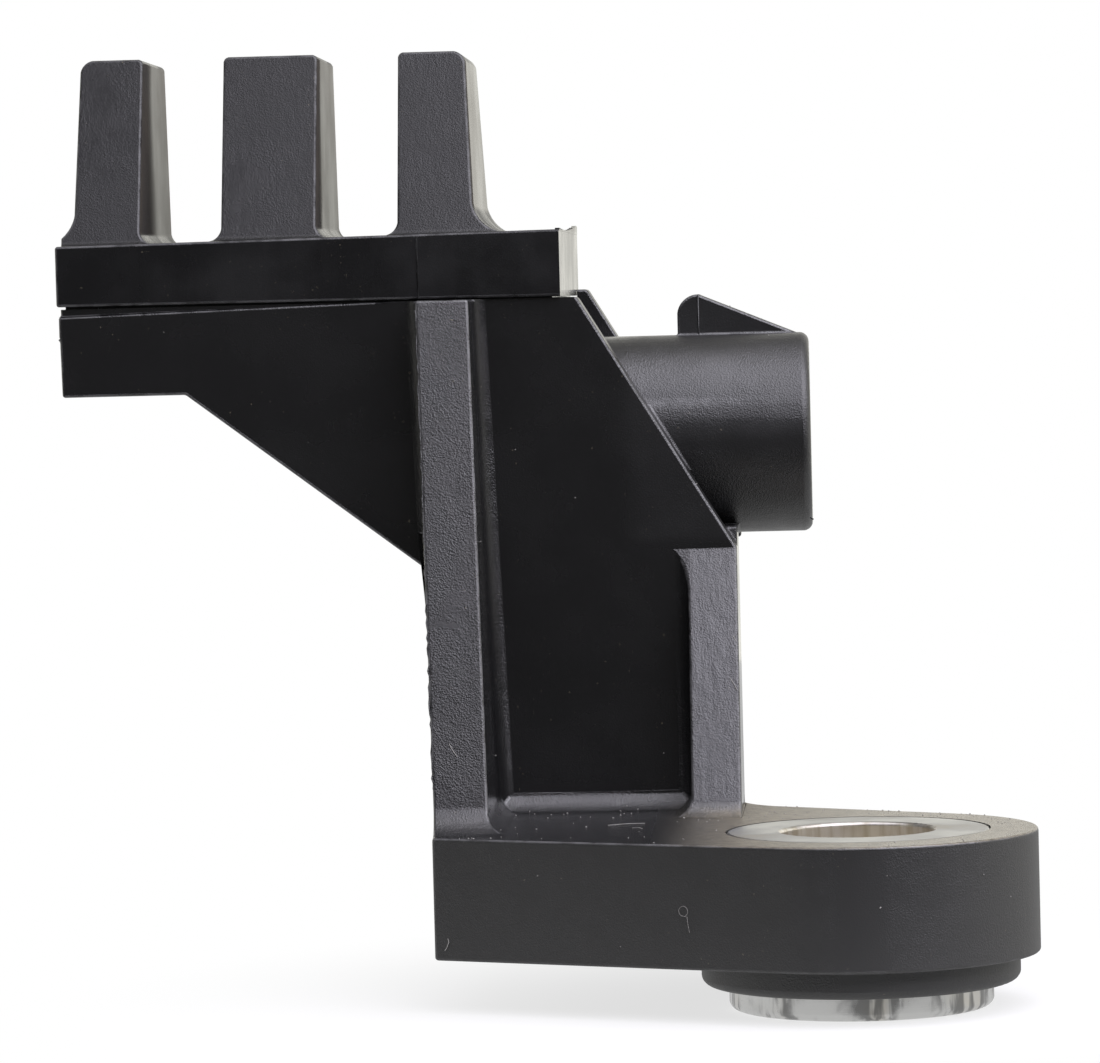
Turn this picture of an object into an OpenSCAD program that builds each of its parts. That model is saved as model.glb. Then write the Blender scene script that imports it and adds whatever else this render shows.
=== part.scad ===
// Dual-slot crankshaft position sensor: a moulded bracket with a metal bush in its foot,
// a three-fingered sensing head and a four-way connector.
// The origin is the centre of the bush's lower face, +Z runs up the bolt,
// +X points out of the connector and +Y points from the sensor's front to its back.

/* [Bush] */
// Outer diameter of the metal bush
bush_d = 15; // [13:0.5:17]
// Diameter of the bolt hole
bore_d = 8.7; // [6.5:0.1:10.5]
// Length of the bush, from the mounting face to the foot's top
bush_len = 10; // [8:0.5:14]
// Rounding of the bush's outer rims
bush_rim = 0.5; // [0.2:0.1:1]

/* [Foot] */
// Radius of the foot's round end
foot_end_r = 10.2; // [9.6:0.1:12]
// Thickness of the foot
foot_t = 7; // [5:0.5:7.5]
// Diameter of the collar under the foot
collar_d = 18.1; // [17.5:0.1:19]
// How far the bush stands out of the collar
bush_proud = 1.4; // [0.5:0.1:2]
// Rounding of the collar's lower rim
collar_rim = 0.6; // [0.2:0.1:1]
// Angle of the foot's back edge to the X axis
foot_back_angle = 33.5; // [25:0.5:40]
// Radius where the foot's back edge meets the post
foot_back_r = 6; // [2:0.5:7]

/* [Post] */
// Distance of the post's left face from the bolt axis
post_left = 24.2; // [22:0.1:27]
// Distance of the post's right face from the bolt axis
post_right = 6.65; // [5:0.05:7.5]
// Thickness of the left wall
wall_t = 3.15; // [2:0.05:4]
// How far the left wall leans out at its top
wall_lean = 1; // [0:0.1:1.5]
// Slope of the left wall's front, from the vertical
wall_angle = 17.5; // [10:0.5:19]
// Radius at the foot of the left wall's front
wall_foot_r = 2.7; // [1:0.1:3]
// Thickness of the right flange
flange_t = 2.95; // [2:0.05:4]
// Slope of the right flange's front, from the vertical
flange_angle = 20.5; // [12:0.5:24]
// Radius at the foot of the right flange's front
flange_foot_r = 1.8; // [0.8:0.1:2.5]
// Distance of the web's front from the bolt axis
web_front = 14.8; // [13:0.1:18]
// Thickness of the web and of the gusset plates
web_t = 3; // [2:0.1:4]
// How far the wall and the flange reach behind the web
post_back_rib = 6.2; // [4:0.1:9]
// Radius in the upright corners of the pockets
corner_r = 1; // [0.5:0.1:1.4]
// Radius along the pockets' floors
floor_r = 1.3; // [0.5:0.1:1.8]
// Radius along the foot of the web's front
web_foot_r = 1.7; // [0.8:0.1:2]

/* [Gussets] */
// Height of the seat that the sensing head stands on
seat_z = 40.55; // [38:0.05:46]
// Thickness of the deck under the sensing head
deck_t = 1.8; // [1.2:0.1:2.5]
// Height of the left gusset's end
gusset_end_h = 5.25; // [3:0.05:7]
// How far the left gusset's end stands back from the head's end
gusset_set = 0.1; // [0.05:0.05:0.5]
// How far the left gusset's end leans in at its lower corner
gusset_draft = 0.1; // [0.05:0.05:0.3]
// Length of the left gusset's level lower edge
gusset_level = 7.45; // [4:0.05:10]
// Height of the left gusset's foot above the mounting face
gusset_foot_z = 24.7; // [20:0.1:28]
// Width of the left gusset's toe beside the wall
gusset_toe = 0.6; // [0.3:0.1:1]
// How far the right gusset stands out past the sensing head
gusset_out = 0.95; // [0.5:0.05:2]
// Height of the lip on the back gusset plate that the head's end stands against
lip_h = 0.45; // [0.2:0.05:0.6]
// Height at which the right gusset's slope meets the post
flange_top = 25.45; // [23:0.05:27]

/* [Sensing head] */
// Distance of the head's right end from the bolt axis
head_right = 16.75; // [14:0.05:20]
// Thickness of the head's block at its left end
block_h = 3.75; // [3.5:0.05:5]
// How much thicker the block is at its right end
block_rise = 0.28; // [0:0.01:0.5]
// Depth of the head's block, front to back
block_d = 27; // [25:0.5:32]
// How far the block stands in front of the web
block_proud = 0.3; // [0:0.05:1]
// Step in the block's front, in line with the left wall
block_step = 0.15; // [0:0.05:0.4]
// Height of the seam groove in the block at its left end
seam_h = 0.15; // [0.1:0.05:0.6]
// Height of the seam groove in the block at its right end
seam_end_h = 0.06; // [0.04:0.02:0.2]
// Depth of the seam groove round the block
seam_d = 0.5; // [0.4:0.05:0.8]
// How far the seat's rim drops at the left end
seat_drop = 0.45; // [0.1:0.05:0.5]
// How far the dropped rim stands back from the gussets' faces
seat_rim = 0.12; // [0.05:0.01:0.3]
// Length over which the seat's rim drops
seat_drop_l = 19; // [10:0.5:22]

/* [Fingers] */
// Width of each slot between the fingers
slot_w = 4.9; // [4.4:0.1:6]
// Width of the middle finger
middle_w = 5.7; // [5.3:0.1:7]
// Width of the outer finger at its tip
outer_w = 3.8; // [3.6:0.05:4.5]
// Width of the inner finger at its tip
inner_w = 4.05; // [3.7:0.05:5]
// Height of the fingers above the block's left end
finger_h = 11.3; // [10:0.1:14]
// Distance of the fingers' front from the block's front, at the foot
finger_set = 3; // [1.5:0.1:4]
// Depth of the fingers at the foot
finger_foot_d = 17.5; // [16:0.5:21]
// Depth of the fingers at the tip
finger_tip_d = 11.4; // [10.5:0.1:15]
// How far the fingers' front leans back from foot to tip
finger_lean = 4.6; // [2:0.1:6]
// Draft of the outer finger's outer face over its height
outer_draft = 0.2; // [0:0.05:0.4]
// Draft of the inner finger's outer face over its height
inner_draft = 0.55; // [0:0.05:0.6]
// Radius of the outer corners at the tips
tip_outer_r = 0.85; // [0.3:0.05:1.1]
// Radius of the slot-side corners at the tips
tip_slot_r = 0.35; // [0.1:0.05:0.6]
// Radius at the slots' floors
slot_r = 0.9; // [0.3:0.1:1.2]
// Radius at the fingers' outer feet
flare_r = 2.2; // [0.8:0.1:2.6]
// Radius at the fingers' front and back feet
foot_r = 0.6; // [0.3:0.1:1.2]
// Width of the ledge outside the inner finger
head_ledge = 5.2; // [4:0.1:8]
// Width of the ledge outside the outer finger
outer_ledge = 0.73; // [0.6:0.01:0.8]

/* [Connector] */
// Distance of the connector's mouth from the bolt axis
mouth_x = 2.1; // [0:0.1:4]
// Height of the connector's shroud
shroud_h = 12; // [11:0.1:14]
// Width of the connector's shroud, front to back
shroud_w = 21; // [20.6:0.1:23]
// Height of the connector's axis above the mounting face
shroud_z = 32; // [31:0.1:33]
// Wall of the connector's shroud
shroud_wall = 1.25; // [1:0.05:1.6]
// Rounding of the shroud's outer rim
shroud_rim = 0.6; // [0.2:0.1:0.9]
// Depth of the connector's socket
socket_d = 11.5; // [9:0.1:12]
// Height of the latch ramp above the shroud
latch_h = 2.5; // [1.5:0.1:3]
// Length of the latch ramp
latch_l = 7.3; // [5:0.1:9]
// Width of the latch ramp
latch_w = 5; // [3:0.1:8]
// Distance of the latch ramp's end from the mouth
latch_set = 0.7; // [0.3:0.1:2]
// Radius of the latch ramp's nose
latch_r = 1.3; // [0.6:0.1:1.4]
// Spacing of the connector's blades
blade_pitch = 4; // [3:0.1:4.5]
// Width of a blade
blade_w = 1.5; // [1:0.1:2]
// Thickness of a blade
blade_t = 0.8; // [0.5:0.1:1]
// Length of the blades inside the socket
blade_out = 6.5; // [5:0.1:7]
// Length of a blade's tapered point
blade_point = 1; // [0.5:0.1:1.5]
// How far a blade's point tapers on each side
blade_taper = 0.25; // [0.1:0.05:0.3]
// Thickness of the plastic behind the socket
socket_floor_t = 2.9; // [2:0.1:3.5]
// Distance of the terminals' bend behind that plastic
terminal_set = 2.6; // [2:0.1:4]
// How far the core reaches below the right gusset's slope
core_drop = 0.4; // [0.2:0.1:1]

/* [Inside the head] */
// Wall round the pockets in the fingers
finger_wall = 0.8; // [0.6:0.05:0.9]
// Wall and roof round the head's cavity
head_wall = 1.3; // [1:0.05:1.6]
// Width of the finger pockets, front to back
pocket_w = 7.4; // [6.8:0.1:8.5]
// How far the head's cavity reaches in front of the fingers
cavity_reach = 0.4; // [0.2:0.1:0.8]
// Wall behind the head's cavity
cavity_back_wall = 2.4; // [1.5:0.1:3]
// Thickness of the circuit board
board_t = 0.8; // [0.6:0.1:1]
// Margin between the circuit board and the cavity's walls
board_margin = 0.4; // [0.2:0.1:0.6]
// Thickness of a Hall switch
hall_t = 1.4; // [1.2:0.05:1.45]
// Width of a Hall switch
hall_w = 4.2; // [3.6:0.1:5]
// Height of a Hall switch
hall_h = 3.2; // [2.8:0.1:4]
// Height of the sensing axis above the block
sense_h = 6; // [5:0.1:7.5]
// Thickness of the flux plates
flux_t = 0.5; // [0.3:0.05:0.55]
// Width of the magnet and of the plates on it
magnet_w = 6.4; // [5:0.1:6.6]
// Height of the magnet and of the plates on it
magnet_h = 6; // [5:0.1:7]
// Width of a lead
lead_w = 0.4; // [0.3:0.05:0.5]
// Spacing of the leads
lead_pitch = 1.27; // [1:0.01:1.5]
// Width of the terminals' tails in the board
tail_w = 0.9; // [0.6:0.1:1]
// How far the terminals' tails stand out of the board
tail_out = 0.5; // [0.3:0.1:0.8]
// Length of a chip capacitor or resistor
chip_l = 3.2; // [2:0.1:3.4]
// Width of a chip capacitor or resistor
chip_w = 1.6; // [1.2:0.1:1.8]
// Height of a chip capacitor or resistor
chip_h = 0.75; // [0.5:0.05:0.8]
// Spacing of the chips in a row
chip_pitch = 2.9; // [2.4:0.1:3.2]
// Distance of the capacitors behind the head's middle
capacitor_y = 6.1; // [5.9:0.1:6.5]
// Distance of the resistors behind the head's middle
resistor_y = 2.2; // [1.9:0.1:2.4]

/* [Clearances] */
// Gap between the bush and the foot
bush_gap = 0.02; // [0.01:0.01:0.1]
// Gap between a metal insert and the plastic round it
insert_gap = 0.05; // [0.02:0.01:0.1]
// Gap between the potting and what it surrounds
potting_gap = 0.03; // [0.01:0.01:0.08]
// Gap between the pieces inside a finger
stack_gap = 0.05; // [0.02:0.01:0.08]
// Gap between the deck and the leads and potting above it
deck_gap = 0.1; // [0.05:0.05:0.2]

/* [Hidden] */
$fn = 64;

plastic = [0.09, 0.09, 0.1];
metal = [0.75, 0.75, 0.74];
tin = [0.7, 0.7, 0.72];
// How far shapes that are joined run into each other
overlap = 0.3;
// How far cutting shapes run past the faces that they cut
past = 1;
// Share by which a fillet's circle is larger than the fillet, so that the two cross
blend = 1.01;
// The same share where a fillet meets its walls at a crease
crease = 1.05;

// Foot and post
foot_top = bush_len;
foot_low = bush_len - foot_t;
collar_r = collar_d / 2;
web_back = web_front + web_t;
post_back = web_back + post_back_rib;
post_h = seat_z - foot_top;
wall_lean_angle = atan(wall_lean / post_h);

// Head
block_front = web_front - block_proud;
block_back = block_front + block_d;
mid_y = block_front + block_d / 2;
plate_back = block_back - block_proud;
block_top = seat_z + block_h;
finger_top = block_top + finger_h;
inner_x = -head_right - head_ledge - inner_draft;
inner_slot_x = inner_x - inner_w;
middle_right_x = inner_slot_x - slot_w;
middle_left_x = middle_right_x - middle_w;
outer_slot_x = middle_left_x - slot_w;
outer_x = outer_slot_x - outer_w;
block_left_x = outer_x - outer_draft - outer_ledge;
middle_x = (middle_left_x + middle_right_x) / 2;
finger_front = block_front + finger_set;
tip_front = finger_front + finger_lean;
pocket_y = tip_front + finger_tip_d / 2;

// Gussets
gusset_left_x = block_left_x + gusset_set;
gusset_right_x = -head_right + gusset_out;
gusset_run = (-post_right - gusset_right_x) / (seat_z - flange_top);
knee_z = seat_z - gusset_end_h;

// Connector
shroud_back_x = -mouth_x - socket_d;
core_right_x = shroud_back_x - socket_floor_t;
core_left_x = -post_left - wall_lean / 2;
core_low = flange_top - core_drop;
terminal_x = core_right_x - terminal_set;
blade_tip_x = shroud_back_x + blade_out;
rib_top = shroud_z - shroud_h / 2 + 2 * overlap;

// Inside the head
cavity_top = block_top - head_wall;
board_top = seat_z + board_t;
sense_z = block_top + sense_h;
cavity_left = block_left_x + head_wall;
cavity_right = -head_right - head_wall;
cavity_front = finger_front - cavity_reach;
cavity_back = block_back - cavity_back_wall;
pocket_top = finger_top - finger_wall;

// The area between two walls that meet at a right angle and a round of radius r.
// It fills a concave corner and trims a convex one.
module corner(r, share = blend) {
    difference() {
        translate([-overlap, -overlap]) square(r + overlap);
        translate([r, r]) circle(r * share);
    }
}

// The area between a level floor, which runs to the left, and a face that leans back by an angle
module leaning_corner(r, angle) {
    reach = r / tan((90 + angle) / 2);
    difference() {
        polygon([
            [-reach, -overlap], [overlap, -overlap],
            [overlap + reach * sin(angle), reach * cos(angle)], [reach * sin(angle), reach * cos(angle)],
            [-reach, 0]
        ]);
        translate([-reach, r]) circle(r * blend);
    }
}

// Extrudes an XZ outline along +Y
module along_y(y, length) {
    translate([0, y + length, 0]) rotate([90, 0, 0]) linear_extrude(length) children();
}

// Extrudes a YZ outline along +X
module along_x(x, length) {
    translate([x, 0, 0]) rotate([90, 0, 90]) linear_extrude(length) children();
}

// A box between two corners, grown on all sides
module span(low, high, grow = 0) {
    translate(low - [grow, grow, grow]) cube(high - low + 2 * [grow, grow, grow]);
}

// Foot

module foot_plan() {
    front_corner = [-post_left, 0];
    front_angle = 180 + acos(foot_end_r / post_left);
    front_touch = foot_end_r * [cos(front_angle), sin(front_angle)];
    back_touch = foot_end_r * [sin(foot_back_angle), cos(foot_back_angle)];
    back_y = back_touch.y + (back_touch.x + post_right) * tan(foot_back_angle);
    half = (90 + foot_back_angle) / 2;
    reach = foot_back_r / tan(half);
    way = [cos(foot_back_angle), -sin(foot_back_angle)];
    bisector = (90 - foot_back_angle) / 2;
    circle(foot_end_r);
    polygon([front_corner, front_touch, back_touch, [-post_right, back_y], [-post_right, post_back],
             [-post_left, post_back]]);
    difference() {
        polygon([[-post_right - overlap, back_y], [-post_right - overlap, back_y + reach],
                 [-post_right, back_y + reach], [-post_right, back_y] + reach * way,
                 [-post_right, back_y] + reach * way - overlap * [way.y * -1, way.x]]);
        translate([-post_right, back_y] + foot_back_r / sin(half) * [cos(bisector), sin(bisector)])
            circle(foot_back_r * blend);
    }
}

module collar() {
    rotate_extrude() difference() {
        translate([0, bush_proud]) square([collar_r, foot_low - bush_proud + overlap]);
        translate([collar_r, bush_proud]) mirror([1, 0]) corner(collar_rim);
    }
}

module foot() {
    translate([0, 0, foot_low]) linear_extrude(foot_t) foot_plan();
    collar();
}

// Post

module wall_side() {
    reach = wall_foot_r / tan((90 + wall_angle) / 2);
    polygon([[reach, foot_top - overlap], [reach, foot_top], [reach + post_h * tan(wall_angle), seat_z],
             [post_back, seat_z], [post_back, foot_top - overlap]]);
    translate([reach, foot_top]) leaning_corner(wall_foot_r, wall_angle);
}

module wall_front() {
    polygon([[-post_left, foot_top - overlap], [wall_t - post_left, foot_top - overlap],
             [wall_t - post_left, foot_top], [wall_t - post_left - wall_lean, seat_z],
             [-post_left - wall_lean, seat_z], [-post_left, foot_top]]);
}

module left_wall() {
    intersection() {
        along_y(-foot_end_r, post_back + foot_end_r) {
            wall_front();
            translate([wall_t - post_left, foot_top]) mirror([1, 0]) leaning_corner(floor_r, wall_lean_angle);
        }
        along_x(-post_left - wall_lean - past, wall_t + wall_lean + floor_r + 2 * past) wall_side();
    }
}

module flange_side() {
    low_y = web_front - (flange_top - foot_top) * tan(flange_angle);
    polygon([[low_y, foot_top - overlap], [low_y, foot_top], [web_front, flange_top], [web_back, flange_top],
             [web_back, rib_top], [post_back, rib_top], [post_back, foot_top - overlap]]);
    translate([low_y, foot_top]) leaning_corner(flange_foot_r, flange_angle);
}

module right_flange() {
    along_x(-post_right - flange_t, flange_t) flange_side();
    intersection() {
        union() {
            translate([-post_right - flange_t, web_front, foot_top - overlap])
                rotate([0, 0, 180]) linear_extrude(flange_top - foot_top + 2 * overlap) corner(corner_r);
            along_y(0, web_front + overlap) translate([-post_right - flange_t, foot_top])
                mirror([1, 0]) corner(floor_r);
        }
        along_x(-post_right - flange_t - floor_r - past, flange_t) flange_side();
    }
}

// Gusset plates

module plate(low) {
    polygon([
        [gusset_left_x, seat_z], [gusset_left_x + gusset_draft, knee_z],
        [gusset_left_x + gusset_level, knee_z],
        [-post_left - wall_lean / 2 - gusset_toe, gusset_foot_z],
        [-post_left, low], [-post_right, low], [-post_right, flange_top], [gusset_right_x, seat_z]
    ]);
}

module web_fillets() {
    translate([wall_t - post_left, web_front, foot_top]) rotate([0, -wall_lean_angle, 0])
        translate([0, 0, -overlap]) mirror([0, 1, 0]) linear_extrude(post_h + overlap) corner(corner_r);
    translate([-post_left, web_front, foot_top]) rotate([0, -wall_lean_angle, 0])
        translate([0, 0, gusset_foot_z - foot_top + corner_r * 2]) rotate([0, 0, 180])
        linear_extrude(seat_z - gusset_foot_z - corner_r * 2) corner(corner_r);
    along_x(wall_t - post_left - overlap, post_left - post_right - wall_t - flange_t + 2 * overlap)
        translate([web_front, foot_top]) mirror([1, 0]) corner(web_foot_r, crease);
}

// The lip on the back plate, which carries on the right gusset's slope above the seat
module back_lip() {
    left_x = -head_right + insert_gap;
    along_y(plate_back - web_t, web_t)
        polygon([[left_x, seat_z - overlap], [left_x, seat_z + lip_h],
                 [gusset_right_x - lip_h * gusset_run, seat_z + lip_h],
                 [gusset_right_x + overlap * gusset_run, seat_z - overlap]]);
}

// Connector

module stadium(height, width) {
    flat = width - height;
    translate([-flat / 2, -height / 2]) square([flat, height]);
    for (side = [-1, 1]) translate([side * flat / 2, 0]) circle(d = height);
}

// The shroud's body: a flat middle between two round sides, with a rounded rim at the mouth
module shroud_body() {
    flat = shroud_w - shroud_h;
    radius = shroud_h / 2;
    start_x = core_right_x - overlap;
    length = -mouth_x - start_x;
    for (side = [-1, 1]) translate([start_x, mid_y + side * flat / 2, shroud_z])
        rotate([0, 90, 0]) rotate_extrude() difference() {
            square([radius, length]);
            translate([radius, length]) rotate(180) corner(shroud_rim);
        }
    along_y(mid_y - flat / 2, flat) translate([-mouth_x, shroud_z]) difference() {
        translate([-length, -radius]) square([length, shroud_h]);
        translate([0, radius]) rotate(180) corner(shroud_rim);
        translate([0, -radius]) mirror([1, 0]) corner(shroud_rim);
    }
}

module shroud() {
    difference() {
        shroud_body();
        socket();
    }
}

module socket() {
    along_x(shroud_back_x, socket_d + past) translate([mid_y, shroud_z])
        stadium(shroud_h - 2 * shroud_wall, shroud_w - 2 * shroud_wall);
}

module latch_ramp() {
    end_x = -mouth_x - latch_set;
    back_x = end_x - latch_l;
    low = shroud_z + shroud_h / 2;
    along_y(mid_y - latch_w / 2, latch_w) difference() {
        polygon([[back_x, low - overlap], [back_x, low + latch_h], [back_x + latch_r, low + latch_h],
                 [end_x, low], [end_x, low - overlap]]);
        translate([back_x, low + latch_h]) mirror([0, 1]) corner(latch_r);
    }
}

// The core between the gusset plates, which holds the terminals
module core() {
    span([core_left_x, web_back - overlap, core_low],
         [core_right_x, plate_back - web_t + overlap, seat_z - deck_t + overlap]);
}

// Terminals

function terminal_y(i) = mid_y + (i - 1.5) * blade_pitch;

module terminal(i, grow = 0) {
    y = terminal_y(i);
    half = blade_w / 2;
    span([terminal_x, y - half, shroud_z - blade_t / 2],
         [blade_tip_x, y + half, shroud_z + blade_t / 2], grow);
    span([terminal_x, y - half, shroud_z - blade_t / 2],
         [terminal_x + blade_t, y + half, seat_z - insert_gap], grow);
    span([terminal_x, y - tail_w / 2, seat_z - 2 * insert_gap],
         [terminal_x + blade_t, y + tail_w / 2, board_top + tail_out], grow);
}

// A corner of a blade's point, as an outline that narrows along X
module point_trim(half, side) {
    polygon([[blade_tip_x - blade_point, side * half], [blade_tip_x, side * (half - blade_taper)],
             [blade_tip_x + past, side * (half - blade_taper)], [blade_tip_x + past, side * (half + past)],
             [blade_tip_x - blade_point, side * (half + past)]]);
}

module pointed_terminal(i) {
    color(tin) difference() {
        terminal(i);
        for (side = [-1, 1]) {
            along_y(terminal_y(i) - blade_w, 2 * blade_w)
                translate([0, shroud_z]) point_trim(blade_t / 2, side);
            translate([0, terminal_y(i), shroud_z - blade_t])
                linear_extrude(2 * blade_t) point_trim(blade_w / 2, side);
        }
    }
}

// Round the seat and the block runs a groove. It is given by the heights of its lower and upper edges,
// at the left end, where the lower edge starts to drop, and at the right end,
// and by how far it reaches in from the block's ends and from its front and back.
module seam_ring(left, right, end_d, front_d) {
    difference() {
        along_y(block_front - past, block_d + 2 * past)
            polygon([[block_left_x - past, left[0]], [block_left_x, left[0]],
                     [block_left_x + seat_drop_l, right[0]], [past - head_right, right[0]],
                     [past - head_right, right[1]], [block_left_x - past, left[1]]]);
        span([block_left_x + end_d, block_front + front_d, left[0] - past],
             [-head_right - end_d, block_back - front_d, left[1] + past]);
    }
}

module housing() {
    color(plastic) {
        difference() {
            union() {
                foot();
                left_wall();
                right_flange();
                along_y(web_front, web_t) plate(foot_top - overlap);
                along_y(plate_back - web_t, web_t) plate(core_low);
                web_fillets();
                span([gusset_left_x, web_front, seat_z - deck_t], [-head_right, plate_back, seat_z]);
                core();
                shroud();
                latch_ramp();
            }
            translate([0, 0, -past]) cylinder(d = bush_d + 2 * bush_gap, h = bush_len + 2 * past);
            for (i = [0:3]) terminal(i, insert_gap);
            seam_ring([seat_z - seat_drop, seat_z + past], [seat_z, seat_z + past],
                      gusset_set + seat_rim, block_proud + seat_rim);
        }
        back_lip();
    }
}

module compression_bush() {
    color(metal) rotate_extrude() difference() {
        translate([bore_d / 2, 0]) square([(bush_d - bore_d) / 2, bush_len]);
        translate([bush_d / 2, 0]) mirror([1, 0]) corner(bush_rim);
        translate([bush_d / 2, bush_len]) rotate(180) corner(bush_rim / 2);
        translate([bore_d / 2, bush_len]) mirror([0, 1]) corner(bush_rim / 2);
        translate([bore_d / 2, 0]) corner(bush_rim / 2);
    }
}

// Sensing head

// Height of the block's top, which rises a little towards its right end
function top_at(x) = block_top + block_rise * (x - block_left_x) / (-head_right - block_left_x);

// Front outline of a finger: its two sides at the tip, their drafts, and the radii of its tips and feet
module finger_outline(sides, drafts, tips, feet) {
    left_foot = sides[0] - drafts[0];
    right_foot = sides[1] + drafts[1];
    left_angle = atan(drafts[0] / finger_h);
    right_angle = atan(drafts[1] / finger_h);
    left_top = top_at(left_foot);
    right_top = top_at(right_foot);
    difference() {
        union() {
            polygon([[left_foot, block_top - overlap], [left_foot, block_top], [sides[0], finger_top],
                     [sides[1], finger_top], [right_foot, block_top], [right_foot, block_top - overlap]]);
            translate([left_foot + (left_top - block_top) * tan(left_angle), left_top])
                leaning_corner(feet[0], left_angle);
            translate([right_foot - (right_top - block_top) * tan(right_angle), right_top])
                mirror([1, 0]) leaning_corner(feet[1], right_angle);
        }
        translate([sides[0], finger_top]) rotate(180) leaning_corner(tips[0], left_angle);
        translate([sides[1], finger_top]) mirror([0, 1]) leaning_corner(tips[1], right_angle);
    }
}

// Side outline of a finger that stands on the block where its top has the given height
module finger_side(top) {
    foot_back = finger_front + finger_foot_d;
    tip_back = tip_front + finger_tip_d;
    reach = 1 + past / finger_h;
    front_angle = atan(finger_lean / finger_h);
    back_angle = atan((foot_back - tip_back) / finger_h);
    polygon([[finger_front, block_top - overlap], [finger_front, block_top],
             [finger_front + finger_lean * reach, finger_top + past],
             [foot_back + (tip_back - foot_back) * reach, finger_top + past],
             [foot_back, block_top], [foot_back, block_top - overlap]]);
    translate([finger_front + (top - block_top) * tan(front_angle), top]) leaning_corner(foot_r, front_angle);
    translate([foot_back - (top - block_top) * tan(back_angle), top])
        mirror([1, 0]) leaning_corner(foot_r, back_angle);
}

module finger(sides, drafts, tips, feet) {
    intersection() {
        along_y(block_front, block_d) finger_outline(sides, drafts, tips, feet);
        along_x(block_left_x, -head_right - block_left_x) finger_side(top_at((sides[0] + sides[1]) / 2));
    }
}

module block() {
    along_y(block_front, block_d)
        polygon([[block_left_x, seat_z], [block_left_x, block_top], [-head_right, block_top + block_rise],
                 [-head_right, seat_z]]);
}

module fingers() {
    finger([outer_x, outer_slot_x], [outer_draft, 0], [tip_outer_r, tip_slot_r], [flare_r, slot_r]);
    finger([middle_left_x, middle_right_x], [0, 0], [tip_slot_r, tip_slot_r], [slot_r, slot_r]);
    finger([inner_slot_x, inner_x], [0, inner_draft], [tip_slot_r, tip_outer_r], [slot_r, flare_r]);
}

module finger_pocket(low_x, high_x, grow) {
    span([low_x + finger_wall, pocket_y - pocket_w / 2, cavity_top - overlap],
         [high_x - finger_wall, pocket_y + pocket_w / 2, pocket_top], grow);
}

module head_cavity(grow = 0) {
    span([cavity_left, cavity_front, seat_z], [cavity_right, cavity_back, cavity_top], grow);
    finger_pocket(outer_x, outer_slot_x, grow);
    finger_pocket(middle_left_x, middle_right_x, grow);
    finger_pocket(inner_slot_x, inner_x, grow);
}

module sensing_head() {
    color(plastic) difference() {
        union() {
            block();
            fingers();
        }
        span([block_left_x - past, block_front - past, seat_z - past],
             [-post_left - wall_lean, block_front + block_step, block_top + past]);
        seam_ring([seat_z - past, seat_z + seam_h], [seat_z - past, seat_z + seam_end_h],
                  seam_d, seam_d + block_step);
        span([cavity_left, cavity_front, seat_z - past], [cavity_right, cavity_back, seat_z + past]);
        head_cavity();
    }
}

// Pieces in the middle finger

pole_left_x = middle_left_x + finger_wall + stack_gap;
pole_right_x = middle_right_x - finger_wall - stack_gap;
magnet_left_x = pole_left_x + flux_t + stack_gap;
magnet_right_x = pole_right_x - flux_t - stack_gap;

module magnet_slab(low_x, high_x, grow = 0) {
    span([low_x, pocket_y - magnet_w / 2, sense_z - magnet_h / 2],
         [high_x, pocket_y + magnet_w / 2, sense_z + magnet_h / 2], grow);
}

module magnet(grow = 0) {
    color([0.3, 0.3, 0.32]) magnet_slab(magnet_left_x, magnet_right_x, grow);
}

module outer_pole_plate(grow = 0) {
    color(metal) magnet_slab(pole_left_x, pole_left_x + flux_t, grow);
}

module inner_pole_plate(grow = 0) {
    color(metal) magnet_slab(pole_right_x - flux_t, pole_right_x, grow);
}

// Pieces in the outer and the inner finger

outer_hall_x = outer_slot_x - finger_wall - stack_gap - hall_t;
inner_hall_x = inner_slot_x + finger_wall + stack_gap;
outer_flux_x = outer_hall_x - stack_gap - flux_t;
inner_flux_x = inner_hall_x + hall_t + stack_gap;

module hall_slab(x, thick, grow) {
    span([x, pocket_y - hall_w / 2, sense_z - hall_h / 2],
         [x + thick, pocket_y + hall_w / 2, sense_z + hall_h / 2], grow);
}

module hall_leads(x, grow) {
    for (i = [-1:1]) {
        middle = [x + hall_t / 2, pocket_y + i * lead_pitch, 0];
        span(middle + [-lead_w / 2, -lead_w / 2, seat_z + deck_gap],
             middle + [lead_w / 2, lead_w / 2, sense_z - hall_h / 2], grow);
    }
}

module outer_hall_switch(grow = 0) { color([0.15, 0.15, 0.15]) hall_slab(outer_hall_x, hall_t, grow); }
module inner_hall_switch(grow = 0) { color([0.15, 0.15, 0.15]) hall_slab(inner_hall_x, hall_t, grow); }
module outer_hall_leads(grow = 0) { color(tin) hall_leads(outer_hall_x, grow); }
module inner_hall_leads(grow = 0) { color(tin) hall_leads(inner_hall_x, grow); }
module outer_flux_plate(grow = 0) { color(metal) hall_slab(outer_flux_x, flux_t, grow); }
module inner_flux_plate(grow = 0) { color(metal) hall_slab(inner_flux_x, flux_t, grow); }

// Circuit board and what is on it

module board_blank(grow = 0) {
    span([cavity_left + board_margin, cavity_front + board_margin, seat_z],
         [cavity_right - board_margin, cavity_back - board_margin, board_top], grow);
}

module circuit_board() {
    color("darkgreen") difference() {
        board_blank();
        hall_leads(outer_hall_x, insert_gap);
        hall_leads(inner_hall_x, insert_gap);
        for (i = [0:3]) terminal(i, insert_gap);
    }
}

module chip(x, y, grow) {
    span([x - chip_w / 2, y - chip_l / 2, board_top],
         [x + chip_w / 2, y + chip_l / 2, board_top + chip_h], grow);
}

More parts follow.
